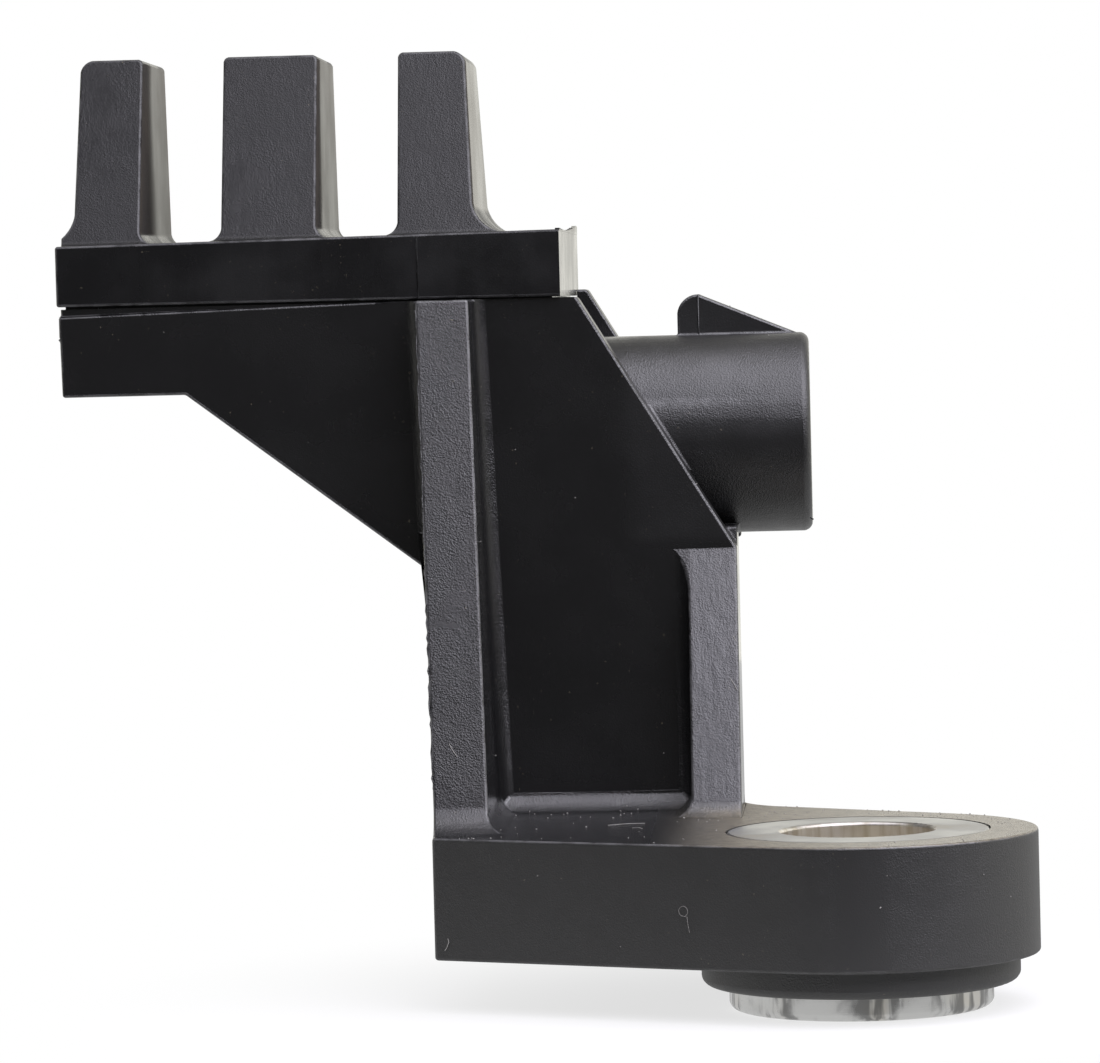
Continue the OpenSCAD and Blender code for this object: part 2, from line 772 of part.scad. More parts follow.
module bypass_capacitors(grow = 0) {
    color("tan") for (side = [-1:1]) chip(middle_x + side * chip_pitch, mid_y + capacitor_y, grow);
}

module series_resistors(grow = 0) {
    color("black") for (side = [-1, 1]) chip(middle_x + side * chip_pitch, mid_y + resistor_y, grow);
}

module supply_terminal() { pointed_terminal(0); }
module ground_terminal() { pointed_terminal(1); }
module outer_signal_terminal() { pointed_terminal(2); }
module inner_signal_terminal() { pointed_terminal(3); }

// The resin that fills the head round all of these
module potting_fill() {
    color([0.13, 0.12, 0.11]) difference() {
        head_cavity(-potting_gap);
        board_blank(potting_gap);
        span([cavity_left, cavity_front, seat_z - past], [cavity_right, cavity_back, seat_z + deck_gap]);
        magnet(potting_gap);
        outer_pole_plate(potting_gap);
        inner_pole_plate(potting_gap);
        outer_hall_switch(potting_gap);
        inner_hall_switch(potting_gap);
        outer_flux_plate(potting_gap);
        inner_flux_plate(potting_gap);
        outer_hall_leads(potting_gap);
        inner_hall_leads(potting_gap);
        bypass_capacitors(potting_gap);
        series_resistors(potting_gap);
        for (i = [0:3]) terminal(i, potting_gap);
    }
}

housing();
sensing_head();
compression_bush();
magnet();
outer_pole_plate();
inner_pole_plate();
outer_hall_switch();
inner_hall_switch();
outer_hall_leads();
inner_hall_leads();
outer_flux_plate();
inner_flux_plate();
circuit_board();
bypass_capacitors();
series_resistors();
supply_terminal();
ground_terminal();
outer_signal_terminal();
inner_signal_terminal();
potting_fill();
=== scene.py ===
"""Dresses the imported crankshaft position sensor: moulded plastic, a turned bush, flash, dust and a studio."""

import math
import random
from types import SimpleNamespace

import bmesh
import bpy
from mathutils import Matrix, Vector
from mathutils.bvhtree import BVHTree


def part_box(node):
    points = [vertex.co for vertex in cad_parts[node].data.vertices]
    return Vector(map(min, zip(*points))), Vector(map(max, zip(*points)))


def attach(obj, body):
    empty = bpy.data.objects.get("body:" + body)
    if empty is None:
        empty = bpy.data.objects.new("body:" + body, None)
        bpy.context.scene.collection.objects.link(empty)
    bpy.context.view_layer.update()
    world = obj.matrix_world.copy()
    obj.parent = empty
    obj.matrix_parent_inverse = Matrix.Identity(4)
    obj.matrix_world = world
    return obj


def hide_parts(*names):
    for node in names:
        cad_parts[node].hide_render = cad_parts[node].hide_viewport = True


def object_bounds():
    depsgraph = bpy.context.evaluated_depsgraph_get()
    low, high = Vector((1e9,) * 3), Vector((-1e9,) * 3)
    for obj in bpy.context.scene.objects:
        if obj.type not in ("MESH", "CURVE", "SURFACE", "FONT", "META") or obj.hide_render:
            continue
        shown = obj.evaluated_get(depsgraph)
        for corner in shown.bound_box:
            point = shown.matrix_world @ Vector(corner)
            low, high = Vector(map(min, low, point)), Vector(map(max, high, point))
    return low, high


bl_info = {
    "name": "Crankshaft position sensor",
    "version": (1, 0, 0),
    "blender": (4, 5, 0),
    "location": "View3D > Sidebar > Sensor",
    "description": "Finishes the mouldings, the bush and the inner pieces of a slotted Hall-effect sensor",
    "category": "Object",
}

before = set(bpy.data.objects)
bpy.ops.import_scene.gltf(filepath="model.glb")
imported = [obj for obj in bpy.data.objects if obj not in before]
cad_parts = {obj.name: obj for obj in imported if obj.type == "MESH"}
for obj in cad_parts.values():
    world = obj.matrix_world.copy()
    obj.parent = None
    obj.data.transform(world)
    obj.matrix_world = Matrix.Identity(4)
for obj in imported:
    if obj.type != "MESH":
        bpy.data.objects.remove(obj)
CAD_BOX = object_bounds()

# Lengths are in metres, as in the frame, except where a name or a comment says millimetres
MM = 0.001
BODY = "root"

# Heights of the foot's top and of the block's top
FOOT_TOP = 10 * MM
BLOCK_TOP = 44.3 * MM

# The fingers' leaning front: its place at the block's top, and how far it leans back for each height
FINGER_FRONT = 17.5 * MM
FINGER_LEAN = 4.6 / 11.3

# The way along the foot's slanting front, in X and Y
ALONG_FRONT = (0.91, -0.42)

# A copied node's points are joined within this gap, and its faces where they turn by less than this angle
JOIN_GAP = 0.002 * MM
JOIN_ANGLE = math.radians(0.05)

# An edge nearer than this to another piece is hidden and stays sharp
HIDDEN_GAP = 0.15 * MM

# An edge between facets is rounded from the first angle on, and one between larger faces from the second on.
# The rounding grows to its full width at the third angle, and takes a share of the narrower face at most.
SHARP_ANGLE = math.radians(36)
FLAT_ANGLE = math.radians(14)
FULL_ANGLE = math.radians(50)
FLAT_AREA = 1.0 * MM * MM
ROOM_SHARE = 0.4
EDGE_SEGMENTS = 3

# A rounded edge stays within this share of its width from the unrounded faces
SPIKE_SHARE = 0.45

# The attribute that marks the rounded edges, along which a highlight is painted, and the share of their width
# by which their points lie under the corner
HIGHLIT_EDGE = "edge_highlight_mark"
HIGHLIT_SHARE = 0.04

# A face larger than this is flat, unless it turns by a small angle into a neighbour of like area
FLAT_FACE = 2.0 * MM * MM
CURVE_ANGLES = (math.radians(0.5), math.radians(25))
LIKE_AREA = (0.25, 4.0)
SMOOTH_COSINE = math.cos(math.radians(50))
LEVEL_COSINE = math.cos(math.radians(21))

# Soft borders of the plastic's finishes and of the highlight painted on the flange's front: where each starts
# and ends along the axis that its name ends in
FOOT_SIDE_Z = (FOOT_TOP - 0.3 * MM, FOOT_TOP + 0.1 * MM)
FOOT_TOP_Z = (FOOT_TOP + 0.1 * MM, FOOT_TOP + 0.6 * MM)
SAND_Z = (FOOT_TOP + 0.1 * MM, FOOT_TOP + 1 * MM)
SAND_X = (-12 * MM, -5 * MM)
SHEEN_START_X = (-13 * MM, -9 * MM)
SHEEN_END_X = (-9 * MM, 4 * MM)
FLANGE_X = (-9.7 * MM, -9.3 * MM)
FLANGE_TOP_Z = (25.3 * MM, 25.5 * MM)
SHROUD_X = (-14 * MM, -12 * MM)
SHROUD_Z = (25.5 * MM, 26.5 * MM)
POLISH_X = (-36 * MM, -20 * MM)
FINGER_FOOT_Z = (BLOCK_TOP + 0.2 * MM, BLOCK_TOP + 0.5 * MM)
FINGER_X = (-43 * MM, -22 * MM)
FINGER_Z = (44 * MM, 55 * MM)

# Soft borders between faces that point different ways, as the normal's share along an axis
SIDEWAYS = (0.9, 0.99)
UPWARDS = (0.3, 0.9)
FORWARDS = (-0.96, -0.9)
STRAIGHT_FORWARDS = (-0.998, -0.985)
SLANTED = (0.2, 0.3)

# The range in which most of a noise lies
NOISE_RANGE = (0.3, 0.7)

# How fine the plastic's noises are, in waves for each metre, and how its streaks are drawn out along Z
HAZE_FINENESS = 170.0
STREAK_FINENESS = 2600.0
STREAK_STRETCH = (1, 1, 0.03)
SPECK_FINENESS = 4200.0
SPECK_PATCH_FINENESS = 420.0
SAND_FINENESS = 1600.0
# The patches of the painted highlight along the rounded edges
EDGE_HIGHLIGHT_FINENESS = 900.0
UNEVEN_FINENESS = 600.0

# How far the dull part of the slots' sides reaches behind their front edge, on the left and on the right, the
# share of that which is fully dull, and its roughness
DULL_REACH = (10 * MM, 2 * MM)
DULL_SHARE = 0.3
DULL_ROUGHNESS = 0.95

# How pale the specks are, how uneven the haze makes the housing's roughness and how much more the head's, and
# what the shroud's barrel and the streaks add to the roughness
SPECK_SHARE = 0.35
HAZE_SPREAD = 0.06
SLOT_HAZE_SPREAD = 0.14
BARREL_ROUGHNESS = 0.1
STREAK_ROUGHNESS = 0.12

# Strength and depth of the plastic's relief, and how the flange changes its grain and its streaks
RELIEF_STRENGTH = 0.8
RELIEF_DEPTH = 0.022 * MM
FLANGE_GRAIN = 0.35
FLANGE_STREAKS = 1.5

# The soft rim between the bush's hole and its end faces, as distances from the bolt's axis
BORE_RIM = (4.4 * MM, 4.6 * MM)

# How fine the bush's noises are, in waves for each metre, and how its scuffs are drawn out along Z
TURNING_FINENESS = 9000.0
TARNISH_FINENESS = 260.0
SCUFF_FINENESS = 1400.0
SCUFF_STRETCH = (1, 1, 0.15)

# How much of its green and its blue a yellowish stain on the bush keeps
STAIN_GREEN = 0.9
STAIN_BLUE = 0.72

# Crumbs of dust on each square metre of the foot's edges and of the rest of the housing, and their smallest
# and largest scales
CRUMBS_ON_FOOT = 3e6
CRUMBS_ELSEWHERE = 1.2e4
CRUMB_SCALES = ((0.25, 0.25, 0.15), (1, 0.8, 0.6))
FULL_TURNS = (math.tau, math.tau, math.tau)

# Where the crumbs lie: the heights at the foot's top, the distances from the bolt's axis at its round rim,
# and the places at its front edge, measured inwards from that axis
CRUMB_HEIGHTS = (FOOT_TOP - 0.5 * MM, FOOT_TOP - 0.1 * MM, FOOT_TOP + 0.1 * MM, FOOT_TOP + 0.4 * MM)
CRUMB_RADII = (8.2 * MM, 9.6 * MM, 10.4 * MM, 12 * MM)
CRUMB_FRONT = (-10.2 * MM, -8 * MM)

# How fine the patches of crumbs are, in waves for each metre
CRUMB_FINENESS = 450.0

# Sides of the section of flash and fibres
SECTION_SIDES = 6

# How far the floor reaches in front of the sensor, so that the front faces don't mirror it
FLOOR_FRONT = 14 * MM

# Where the floor fades into white, as distances from the foot, and the share of white where it starts
FLOOR_FADE = (0.01, 0.05)
FLOOR_WHITE = 0.72
WHITE = (1.0, 1.0, 1.0, 1.0)

# The photograph's frame and the camera that was fitted to it
IMAGE_SIZE = (1100, 1063)
FOCAL_PIXELS = 5500
DEPTH_VANISHING_POINT = (800, 290)
CAMERA_ROLL = 0.0235
CAMERA_PLACE_MM = (-2.56, -311.128, 40.612)
SENSOR_WIDTH_MM = 36
CLIP_START = 0.01


# Node helpers

def add_node(tree, kind, inputs=None, **options):
    """Adds a node, sets its options and its inputs, and returns it. An input can be a value or a socket."""
    node = tree.nodes.new(kind)
    for option, value in options.items():
        setattr(node, option, value)
    for socket, value in (inputs or {}).items():
        if isinstance(value, bpy.types.NodeSocket):
            tree.links.new(value, node.inputs[socket])
        else:
            node.inputs[socket].default_value = value
    return node


def math_node(tree, operation, first, second=0.0, clamp=False):
    """Adds a Math node and returns its output."""
    inputs = {0: first, 1: second}
    return add_node(tree, "ShaderNodeMath", inputs, operation=operation, use_clamp=clamp).outputs[0]


def product(tree, first, *others):
    """Multiplies values in turn and returns the output."""
    for other in others:
        first = math_node(tree, "MULTIPLY", first, other)
    return first


def total(tree, first, *others):
    """Adds values in turn and returns the output."""
    for other in others:
        first = math_node(tree, "ADD", first, other)
    return first


def ramp_node(tree, value, low, high, start=0.0, end=1.0):
    """Maps a value smoothly from low..high to start..end and returns the output."""
    inputs = {"Value": value, "From Min": low, "From Max": high, "To Min": start, "To Max": end}
    return add_node(tree, "ShaderNodeMapRange", inputs, interpolation_type="SMOOTHSTEP").outputs[0]


def mix_value(tree, factor, first, second):
    """Mixes two numbers and returns the output."""
    return add_node(tree, "ShaderNodeMix", {0: factor, 2: first, 3: second}).outputs[0]


def mix_colour(tree, factor, first, second):
    """Mixes two colours and returns the output."""
    inputs = {0: factor, 6: first, 7: second}
    return add_node(tree, "ShaderNodeMix", inputs, data_type="RGBA").outputs[2]


def split_vector(tree, vector):
    """Returns a vector's X, Y and Z."""
    return tuple(add_node(tree, "ShaderNodeSeparateXYZ", {0: vector}).outputs)


def axis_distance(tree, x, y):
    """Returns the distance from the bolt's axis."""
    flat = add_node(tree, "ShaderNodeCombineXYZ", {0: x, 1: y}).outputs[0]
    return add_node(tree, "ShaderNodeVectorMath", {0: flat}, operation="LENGTH").outputs["Value"]


def object_coordinates(tree, scale=(1, 1, 1)):
    """Returns the piece's own coordinates, stretched by a scale."""
    place = add_node(tree, "ShaderNodeTexCoord").outputs["Object"]
    return add_node(tree, "ShaderNodeMapping", {"Vector": place, "Scale": scale}).outputs[0]


def noise_node(tree, vector, scale, detail=2.0, roughness=0.5):
    """Adds a noise texture and returns its grey output."""
    inputs = {"Vector": vector, "Scale": scale, "Detail": detail, "Roughness": roughness}
    return add_node(tree, "ShaderNodeTexNoise", inputs).outputs[0]


def new_material(name):
    """Makes a material and returns it with its tree and its Principled shader."""
    material = bpy.data.materials.new(name)
    material.use_nodes = True
    return material, material.node_tree, material.node_tree.nodes["Principled BSDF"]


def add_relief(tree, shader, height, strength, depth):
    """Gives a shader a relief of a given strength and depth."""
    bump = add_node(tree, "ShaderNodeBump", {"Height": height, "Strength": strength, "Distance": depth})
    tree.links.new(bump.outputs[0], shader.inputs["Normal"])


# Sizes and colours that a user would change

class MouldingLook(bpy.types.PropertyGroup):
    """Finish of the two black mouldings."""

    colour: bpy.props.FloatVectorProperty(
        name="Colour", description="Colour of the black plastic", subtype="COLOR", size=4,
        default=(0.0098, 0.0098, 0.0102, 1.0), min=0.0, max=1.0)
    # The paler colour on the flange's upward-slanted front is a painted highlight, standing in for the
    # softbox's reflection
    flange_painted_highlight: bpy.props.FloatVectorProperty(
        name="Flange colour", description="Colour of the paler plastic on the right flange's front",
        subtype="COLOR", size=4, default=(0.062, 0.061, 0.066, 1.0), min=0.0, max=1.0)
    worn_colour: bpy.props.FloatVectorProperty(
        name="Worn colour", description="Colour of the matt plastic round the foot", subtype="COLOR", size=4,
        default=(0.0165, 0.0165, 0.0162, 1.0), min=0.0, max=1.0)
    dust: bpy.props.FloatVectorProperty(
        name="Dust", description="Colour of the dust and of the pale flaws", subtype="COLOR", size=4,
        default=(0.27, 0.235, 0.165, 1.0), min=0.0, max=1.0)
    edge: bpy.props.FloatProperty(
        name="Edge rounding", description="Width of the rounded edges", subtype="DISTANCE", unit="LENGTH",
        default=0.17 * MM, min=0.0)
    roughness: bpy.props.FloatProperty(
        name="Roughness", description="Roughness of the spark-eroded faces", subtype="FACTOR",
        default=0.24, min=0.0, max=1.0)
    drawn_roughness: bpy.props.FloatProperty(
        name="Drawn roughness", description="Roughness of the faces that slide along the mould",
        subtype="FACTOR", default=0.14, min=0.0, max=1.0)
    worn_roughness: bpy.props.FloatProperty(
        name="Worn roughness", description="Roughness of the matt plastic round the foot", subtype="FACTOR",
        default=0.5, min=0.0, max=1.0)
    grain: bpy.props.FloatProperty(
        name="Grain", description="Size of the spark-eroded grain", subtype="DISTANCE", unit="LENGTH",
        default=0.11 * MM, min=0.0)
    # The rubbed edges' colour is a painted highlight along the rounded edges
    edge_highlight_colour: bpy.props.FloatVectorProperty(
        name="Edge colour", description="Colour of the rubbed edges", subtype="COLOR", size=4,
        default=(0.085, 0.085, 0.087, 1.0), min=0.0, max=1.0)
    slot_stain: bpy.props.FloatVectorProperty(
        name="Slot stain", description="Colour of the stains on the slots' sides", subtype="COLOR", size=4,
        default=(0.05, 0.038, 0.025, 1.0), min=0.0, max=1.0)


class FlashLook(bpy.types.PropertyGroup):
    """Moulding flash and dust."""

    ridge: bpy.props.FloatProperty(
        name="Flash", description="Thickness of the flash along the parting lines", subtype="DISTANCE",
        unit="LENGTH", default=0.05 * MM, min=0.0)
    fibre: bpy.props.FloatProperty(
        name="Fibre", description="Thickness of the dust fibres", subtype="DISTANCE", unit="LENGTH",
        default=0.022 * MM, min=0.0)
    crumb: bpy.props.FloatProperty(
        name="Crumb", description="Radius of the largest dust crumbs", subtype="DISTANCE", unit="LENGTH",
        default=0.08 * MM, min=0.0)
    fibre_colour: bpy.props.FloatVectorProperty(
        name="Fibre colour", description="Colour of the dust fibres", subtype="COLOR", size=4,
        default=(0.34, 0.33, 0.31, 1.0), min=0.0, max=1.0)


class BushLook(bpy.types.PropertyGroup):
    """Finish of the turned bush."""

    colour: bpy.props.FloatVectorProperty(
        name="Colour", description="Colour of the plated metal", subtype="COLOR", size=4,
        default=(0.68, 0.68, 0.67, 1.0), min=0.0, max=1.0)
    # The bore's near-white colour is painted light, which stands in for the light inside the hole
    bore_painted_light: bpy.props.FloatVectorProperty(
        name="Bore", description="Colour of the drilled hole", subtype="COLOR", size=4,
        default=(0.98, 0.94, 0.88, 1.0), min=0.0, max=1.0)
    tarnish: bpy.props.FloatVectorProperty(
        name="Tarnish", description="Colour of the dull marks", subtype="COLOR", size=4,
        default=(0.16, 0.16, 0.16, 1.0), min=0.0, max=1.0)
    roughness: bpy.props.FloatProperty(
        name="Roughness", description="Roughness of the metal", subtype="FACTOR",
        default=0.24, min=0.0, max=1.0)


class StageLook(bpy.types.PropertyGroup):
    """Floor, light and background."""

    floor_colour: bpy.props.FloatVectorProperty(
        name="Floor", description="Colour of the floor", subtype="COLOR", size=4,
        default=(0.8, 0.8, 0.8, 1.0), min=0.0, max=1.0)
    floor_radius: bpy.props.FloatProperty(
        name="Floor radius", description="Radius of the floor", subtype="DISTANCE", unit="LENGTH",
        default=0.16, min=0.0)
    mirrored_floor: bpy.props.FloatProperty(
        name="Mirrored floor", description="Brightness of the floor in the sensor's reflections",
        subtype="FACTOR", default=0.66, min=0.0, max=1.0)
    softbox: bpy.props.FloatProperty(
        name="Softbox", description="Brightness of the right-hand softbox", default=4.6, min=0.0)
    metal_softbox: bpy.props.FloatProperty(
        name="Metal softbox", description="Brightness of the right-hand softbox on the bush",
        default=1.7, min=0.0)
    fill: bpy.props.FloatProperty(
        name="Fill", description="Brightness of the left-hand softbox", default=0.9, min=0.0)
    softbox_colour: bpy.props.FloatVectorProperty(
        name="Softbox colour", description="Colour of the softbox", subtype="COLOR", size=3,
        default=(0.92, 0.90, 1.0), min=0.0, max=1.0)
    ambient: bpy.props.FloatProperty(
        name="Ambient", description="Brightness of the room", subtype="FACTOR",
        default=0.22, min=0.0, max=1.0)
    dark_side: bpy.props.FloatProperty(
        name="Dark side", description="Brightness of the room behind the camera", subtype="FACTOR",
        default=0.05, min=0.0, max=1.0)


# Materials

def plastic_fields(tree, slots):
    """Places, directions and noises over a moulding, which its colour, roughness and relief share."""
    coordinates = add_node(tree, "ShaderNodeTexCoord")
    field = SimpleNamespace(place=coordinates.outputs["Object"])
    field.x, field.y, field.z = split_vector(tree, field.place)
    across, field.inwards, upright = split_vector(tree, coordinates.outputs["Normal"])
    field.haze = noise_node(tree, field.place, HAZE_FINENESS, detail=4.0)
    field.streak = noise_node(tree, object_coordinates(tree, STREAK_STRETCH), STREAK_FINENESS, detail=3.0)
    field.drawn = ramp_node(tree, math_node(tree, "ABSOLUTE", across), *SIDEWAYS)
    field.upwards = ramp_node(tree, upright, *UPWARDS)
    field.foot = ramp_node(tree, field.z, *FOOT_SIDE_Z, 1.0, 0.0)
    field.worn = product(tree, field.foot, math_node(tree, "SUBTRACT", 1.0, field.upwards))
    field.finger = ramp_node(tree, field.z, *FINGER_FOOT_Z, 0.0, slots)
    field.dull = product(tree, slot_dullness(tree, field), field.finger)
    forwards = ramp_node(tree, field.inwards, *FORWARDS, 1.0, 0.0)
    # The flange's upward-slanted front: the colour gets a painted highlight there, and the relief its own grain
    # and streaks
    under_shroud = ramp_node(tree, field.z, *FLANGE_TOP_Z, 1.0, 0.0)
    slanted = ramp_node(tree, upright, *SLANTED)
    field.flange = product(tree, ramp_node(tree, field.x, *FLANGE_X), forwards, under_shroud, slanted)
    return field


def slot_dullness(tree, field):
    """How dull the slots' sides are: fully at the fingers' leaning front edge, and less behind it."""
    leaned = product(tree, field.z, FINGER_LEAN)
    behind = math_node(tree, "SUBTRACT", field.y, leaned)
    behind = math_node(tree, "SUBTRACT", behind, FINGER_FRONT - FINGER_LEAN * BLOCK_TOP)
    reach = ramp_node(tree, field.x, *FINGER_X, *DULL_REACH)
    reach = product(tree, reach, ramp_node(tree, field.z, *FINGER_Z, 1.0, 0.5))
    return ramp_node(tree, behind, product(tree, reach, DULL_SHARE), reach, 1.0, 0.0)


def painted_edge_highlights(tree, field):
    """How strong the painted highlight along the rounded edges is: in patches, and weaker on the foot."""
    edges = add_node(tree, "ShaderNodeAttribute", attribute_name=HIGHLIT_EDGE).outputs["Fac"]
    less_on_foot = ramp_node(tree, field.foot, 0.0, 1.0, 1.0, 0.3)
    patches = noise_node(tree, field.place, EDGE_HIGHLIGHT_FINENESS, detail=3.0)
    return product(tree, edges, less_on_foot, ramp_node(tree, patches, 0.3, 0.65))


def dustiness(tree, field):
    """Pale specks in patches all over, and a film of sand on the foot's top, which grows to the right."""
    patches = ramp_node(tree, noise_node(tree, field.place, SPECK_PATCH_FINENESS), 0.45, 0.7)
    specks = ramp_node(tree, noise_node(tree, field.place, SPECK_FINENESS), 0.70, 0.76)
    specks = product(tree, specks, patches, SPECK_SHARE)
    sand = noise_node(tree, field.place, SAND_FINENESS, detail=5.0, roughness=0.7)
    film = product(tree, ramp_node(tree, field.x, *SAND_X), field.upwards,
                   ramp_node(tree, field.z, *SAND_Z, 1.0, 0.0), ramp_node(tree, sand, *NOISE_RANGE, 0.3, 0.7))
    return math_node(tree, "ADD", specks, film, clamp=True)


def plastic_colour(tree, look, field):
    """Black with a painted highlight on the flange's front, a matt foot, stained slots, painted highlights
    along the rounded edges, and dust.
    """
    stain = product(tree, ramp_node(tree, field.streak, *NOISE_RANGE, 0.7, 1.0),
                    ramp_node(tree, field.haze, *NOISE_RANGE, 0.3, 1.0), field.drawn, field.finger)
    # Painted highlight on the flange's front
    body = mix_colour(tree, field.flange, look.colour, look.flange_painted_highlight)
    body = mix_colour(tree, field.worn, body, look.worn_colour)
    body = mix_colour(tree, stain, body, look.slot_stain)
    # Painted highlights along the rounded edges
    body = mix_colour(tree, painted_edge_highlights(tree, field), body, look.edge_highlight_colour)
    return mix_colour(tree, dustiness(tree, field), body, look.dust)


def drawn_roughness(tree, look, field):
    """Roughness of the faces that slide along the mould: less to the right, and dull on the slots' sides."""
    rough = ramp_node(tree, field.x, *POLISH_X, look.roughness + 0.08, look.drawn_roughness)
    rough = total(tree, rough, product(tree, field.finger, 0.06))
    rough = total(tree, rough, ramp_node(tree, field.haze, *NOISE_RANGE, -0.08, 0.03))
    return mix_value(tree, field.dull, rough, DULL_ROUGHNESS)


def plastic_roughness(tree, look, field, streaks, slots):
    """Hazy satin, with a duller shroud and foot, a sheen on the foot's top, and smoother drawn faces."""
    spread = HAZE_SPREAD + SLOT_HAZE_SPREAD * slots
    rough = ramp_node(tree, field.haze, *NOISE_RANGE, look.roughness - spread / 2, look.roughness + spread)
    barrel = product(tree, ramp_node(tree, field.x, *SHROUD_X), ramp_node(tree, field.z, *SHROUD_Z))
    rough = total(tree, rough, product(tree, barrel, BARREL_ROUGHNESS))
    foot_top = product(tree, ramp_node(tree, field.z, *FOOT_TOP_Z, 1.0, 0.0), field.upwards)
    sheen = math_node(tree, "MINIMUM", ramp_node(tree, field.x, *SHEEN_START_X, 0.2, 0.44),
                      ramp_node(tree, field.x, *SHEEN_END_X, 0.44, 0.24))
    rough = mix_value(tree, foot_top, rough, sheen)
    rough = mix_value(tree, field.drawn, rough, drawn_roughness(tree, look, field))
    rough = mix_value(tree, field.worn, rough, look.worn_roughness)
    return total(tree, rough, product(tree, field.streak, streaks * STREAK_ROUGHNESS))


def plastic_relief(tree, look, field, streaks, grained):
    """Spark-eroded grain and draw streaks, weaker on the drawn faces and on those straight to the front."""
    cells = add_node(tree, "ShaderNodeTexVoronoi", {
        "Vector": field.place, "Scale": 1 / look.grain, "Randomness": 1.0})
    fine = noise_node(tree, field.place, 2 / look.grain, roughness=0.6)
    grain = total(tree, cells.outputs["Distance"], fine)
    uneven = ramp_node(tree, noise_node(tree, field.place, UNEVEN_FINENESS, detail=3.0), 0.3, 0.6, 0.6, 1.0)
    pitted = product(tree, uneven, ramp_node(tree, field.flange, 0.0, 1.0, grained, FLANGE_GRAIN * grained))
    combed = ramp_node(tree, field.flange, 0.0, 1.0, streaks, FLANGE_STREAKS)
    relief = total(tree, product(tree, grain, pitted), product(tree, field.streak, combed))
    drawn_smooth = product(tree, field.drawn, ramp_node(tree, field.dull, 0.0, 1.0, 0.8, 0.0))
    front_smooth = ramp_node(tree, field.inwards, *STRAIGHT_FORWARDS, 0.7, 0.0)
    smooth = math_node(tree, "MAXIMUM", drawn_smooth, front_smooth)
    return product(tree, relief, math_node(tree, "SUBTRACT", 1.0, smooth))


def black_plastic(look, name, streaks, grained, gloss, slots):
    """Glass-filled plastic, with the strengths of its streaks, its grain, its gloss and its stained slots."""
    material, tree, shader = new_material(name)
    field = plastic_fields(tree, slots)
    tree.links.new(plastic_colour(tree, look, field), shader.inputs["Base Color"])
    tree.links.new(plastic_roughness(tree, look, field, streaks, slots), shader.inputs["Roughness"])
    relief = plastic_relief(tree, look, field, streaks, grained)
    add_relief(tree, shader, relief, RELIEF_STRENGTH, RELIEF_DEPTH)
    shader.inputs["IOR"].default_value = gloss
    return material


def plated_metal(look):
    """Turned and plated metal with rings round its axis, yellowish stains, dull marks, and a near-white bore
    that is painted light inside the hole.
    """
    material, tree, shader = new_material("turned_plated_metal")
    coordinates = add_node(tree, "ShaderNodeTexCoord")
    place = coordinates.outputs["Object"]
    x, y, z = split_vector(tree, place)
    radius = axis_distance(tree, x, y)
    rings = add_node(tree, "ShaderNodeCombineXYZ", {0: radius, 1: z}).outputs[0]
    turned = noise_node(tree, rings, TURNING_FINENESS, detail=3.0)
    patches = noise_node(tree, place, TARNISH_FINENESS, detail=4.0)
    scuffs = noise_node(tree, object_coordinates(tree, SCUFF_STRETCH), SCUFF_FINENESS, detail=3.0)
    upwards = ramp_node(tree, split_vector(tree, coordinates.outputs["Normal"])[2], 0.8, 0.98)
    inside = ramp_node(tree, radius, *BORE_RIM, 1.0, 0.0)

    rough = ramp_node(tree, patches, *NOISE_RANGE, look.roughness - 0.06, look.roughness + 0.1)
    rough = total(tree, rough, product(tree, upwards, 0.14), product(tree, inside, 0.12))
    tree.links.new(rough, shader.inputs["Roughness"])

    stained = (look.colour[0], look.colour[1] * STAIN_GREEN, look.colour[2] * STAIN_BLUE, 1.0)
    stain = product(tree, ramp_node(tree, patches, 0.5, 0.75), 0.5)
    body = mix_colour(tree, stain, look.colour, stained)
    # The bore is painted near white, as painted light inside the hole, with yellowish streaks along its axis
    drilled = mix_colour(tree, ramp_node(tree, scuffs, 0.4, 0.65, 0.0, 0.7), look.bore_painted_light, stained)
    body = mix_colour(tree, inside, body, drilled)
    marks = product(tree, ramp_node(tree, scuffs, 0.44, 0.56), ramp_node(tree, patches, 0.4, 0.55))
    plain = math_node(tree, "MAXIMUM", upwards, inside)
    marks = product(tree, marks, math_node(tree, "SUBTRACT", 0.8, plain, clamp=True))
    tree.links.new(mix_colour(tree, marks, body, look.tarnish), shader.inputs["Base Color"])

    relief = total(tree, turned, product(tree, scuffs, 0.5))
    add_relief(tree, shader, relief, 0.35, 0.012 * MM)
    shader.inputs["Metallic"].default_value = 1.0
    return material


def mottled(name, dark, light, size, rough, metallic=0.0, stretch=(1, 1, 1), depth=0.02 * MM):
    """A finish that varies between two colours in patches of a given size, with a relief of a given depth."""
    material, tree, shader = new_material(name)
    place = object_coordinates(tree, stretch)
    patches = ramp_node(tree, noise_node(tree, place, 1 / size, detail=4.0), *NOISE_RANGE)
    fine = noise_node(tree, place, 6 / size)
    tree.links.new(mix_colour(tree, patches, (*dark, 1.0), (*light, 1.0)), shader.inputs["Base Color"])
    uneven = ramp_node(tree, fine, *NOISE_RANGE, rough - 0.06, rough + 0.08)
    tree.links.new(uneven, shader.inputs["Roughness"])
    add_relief(tree, shader, fine, 0.4, depth)
    shader.inputs["Metallic"].default_value = metallic
    return material


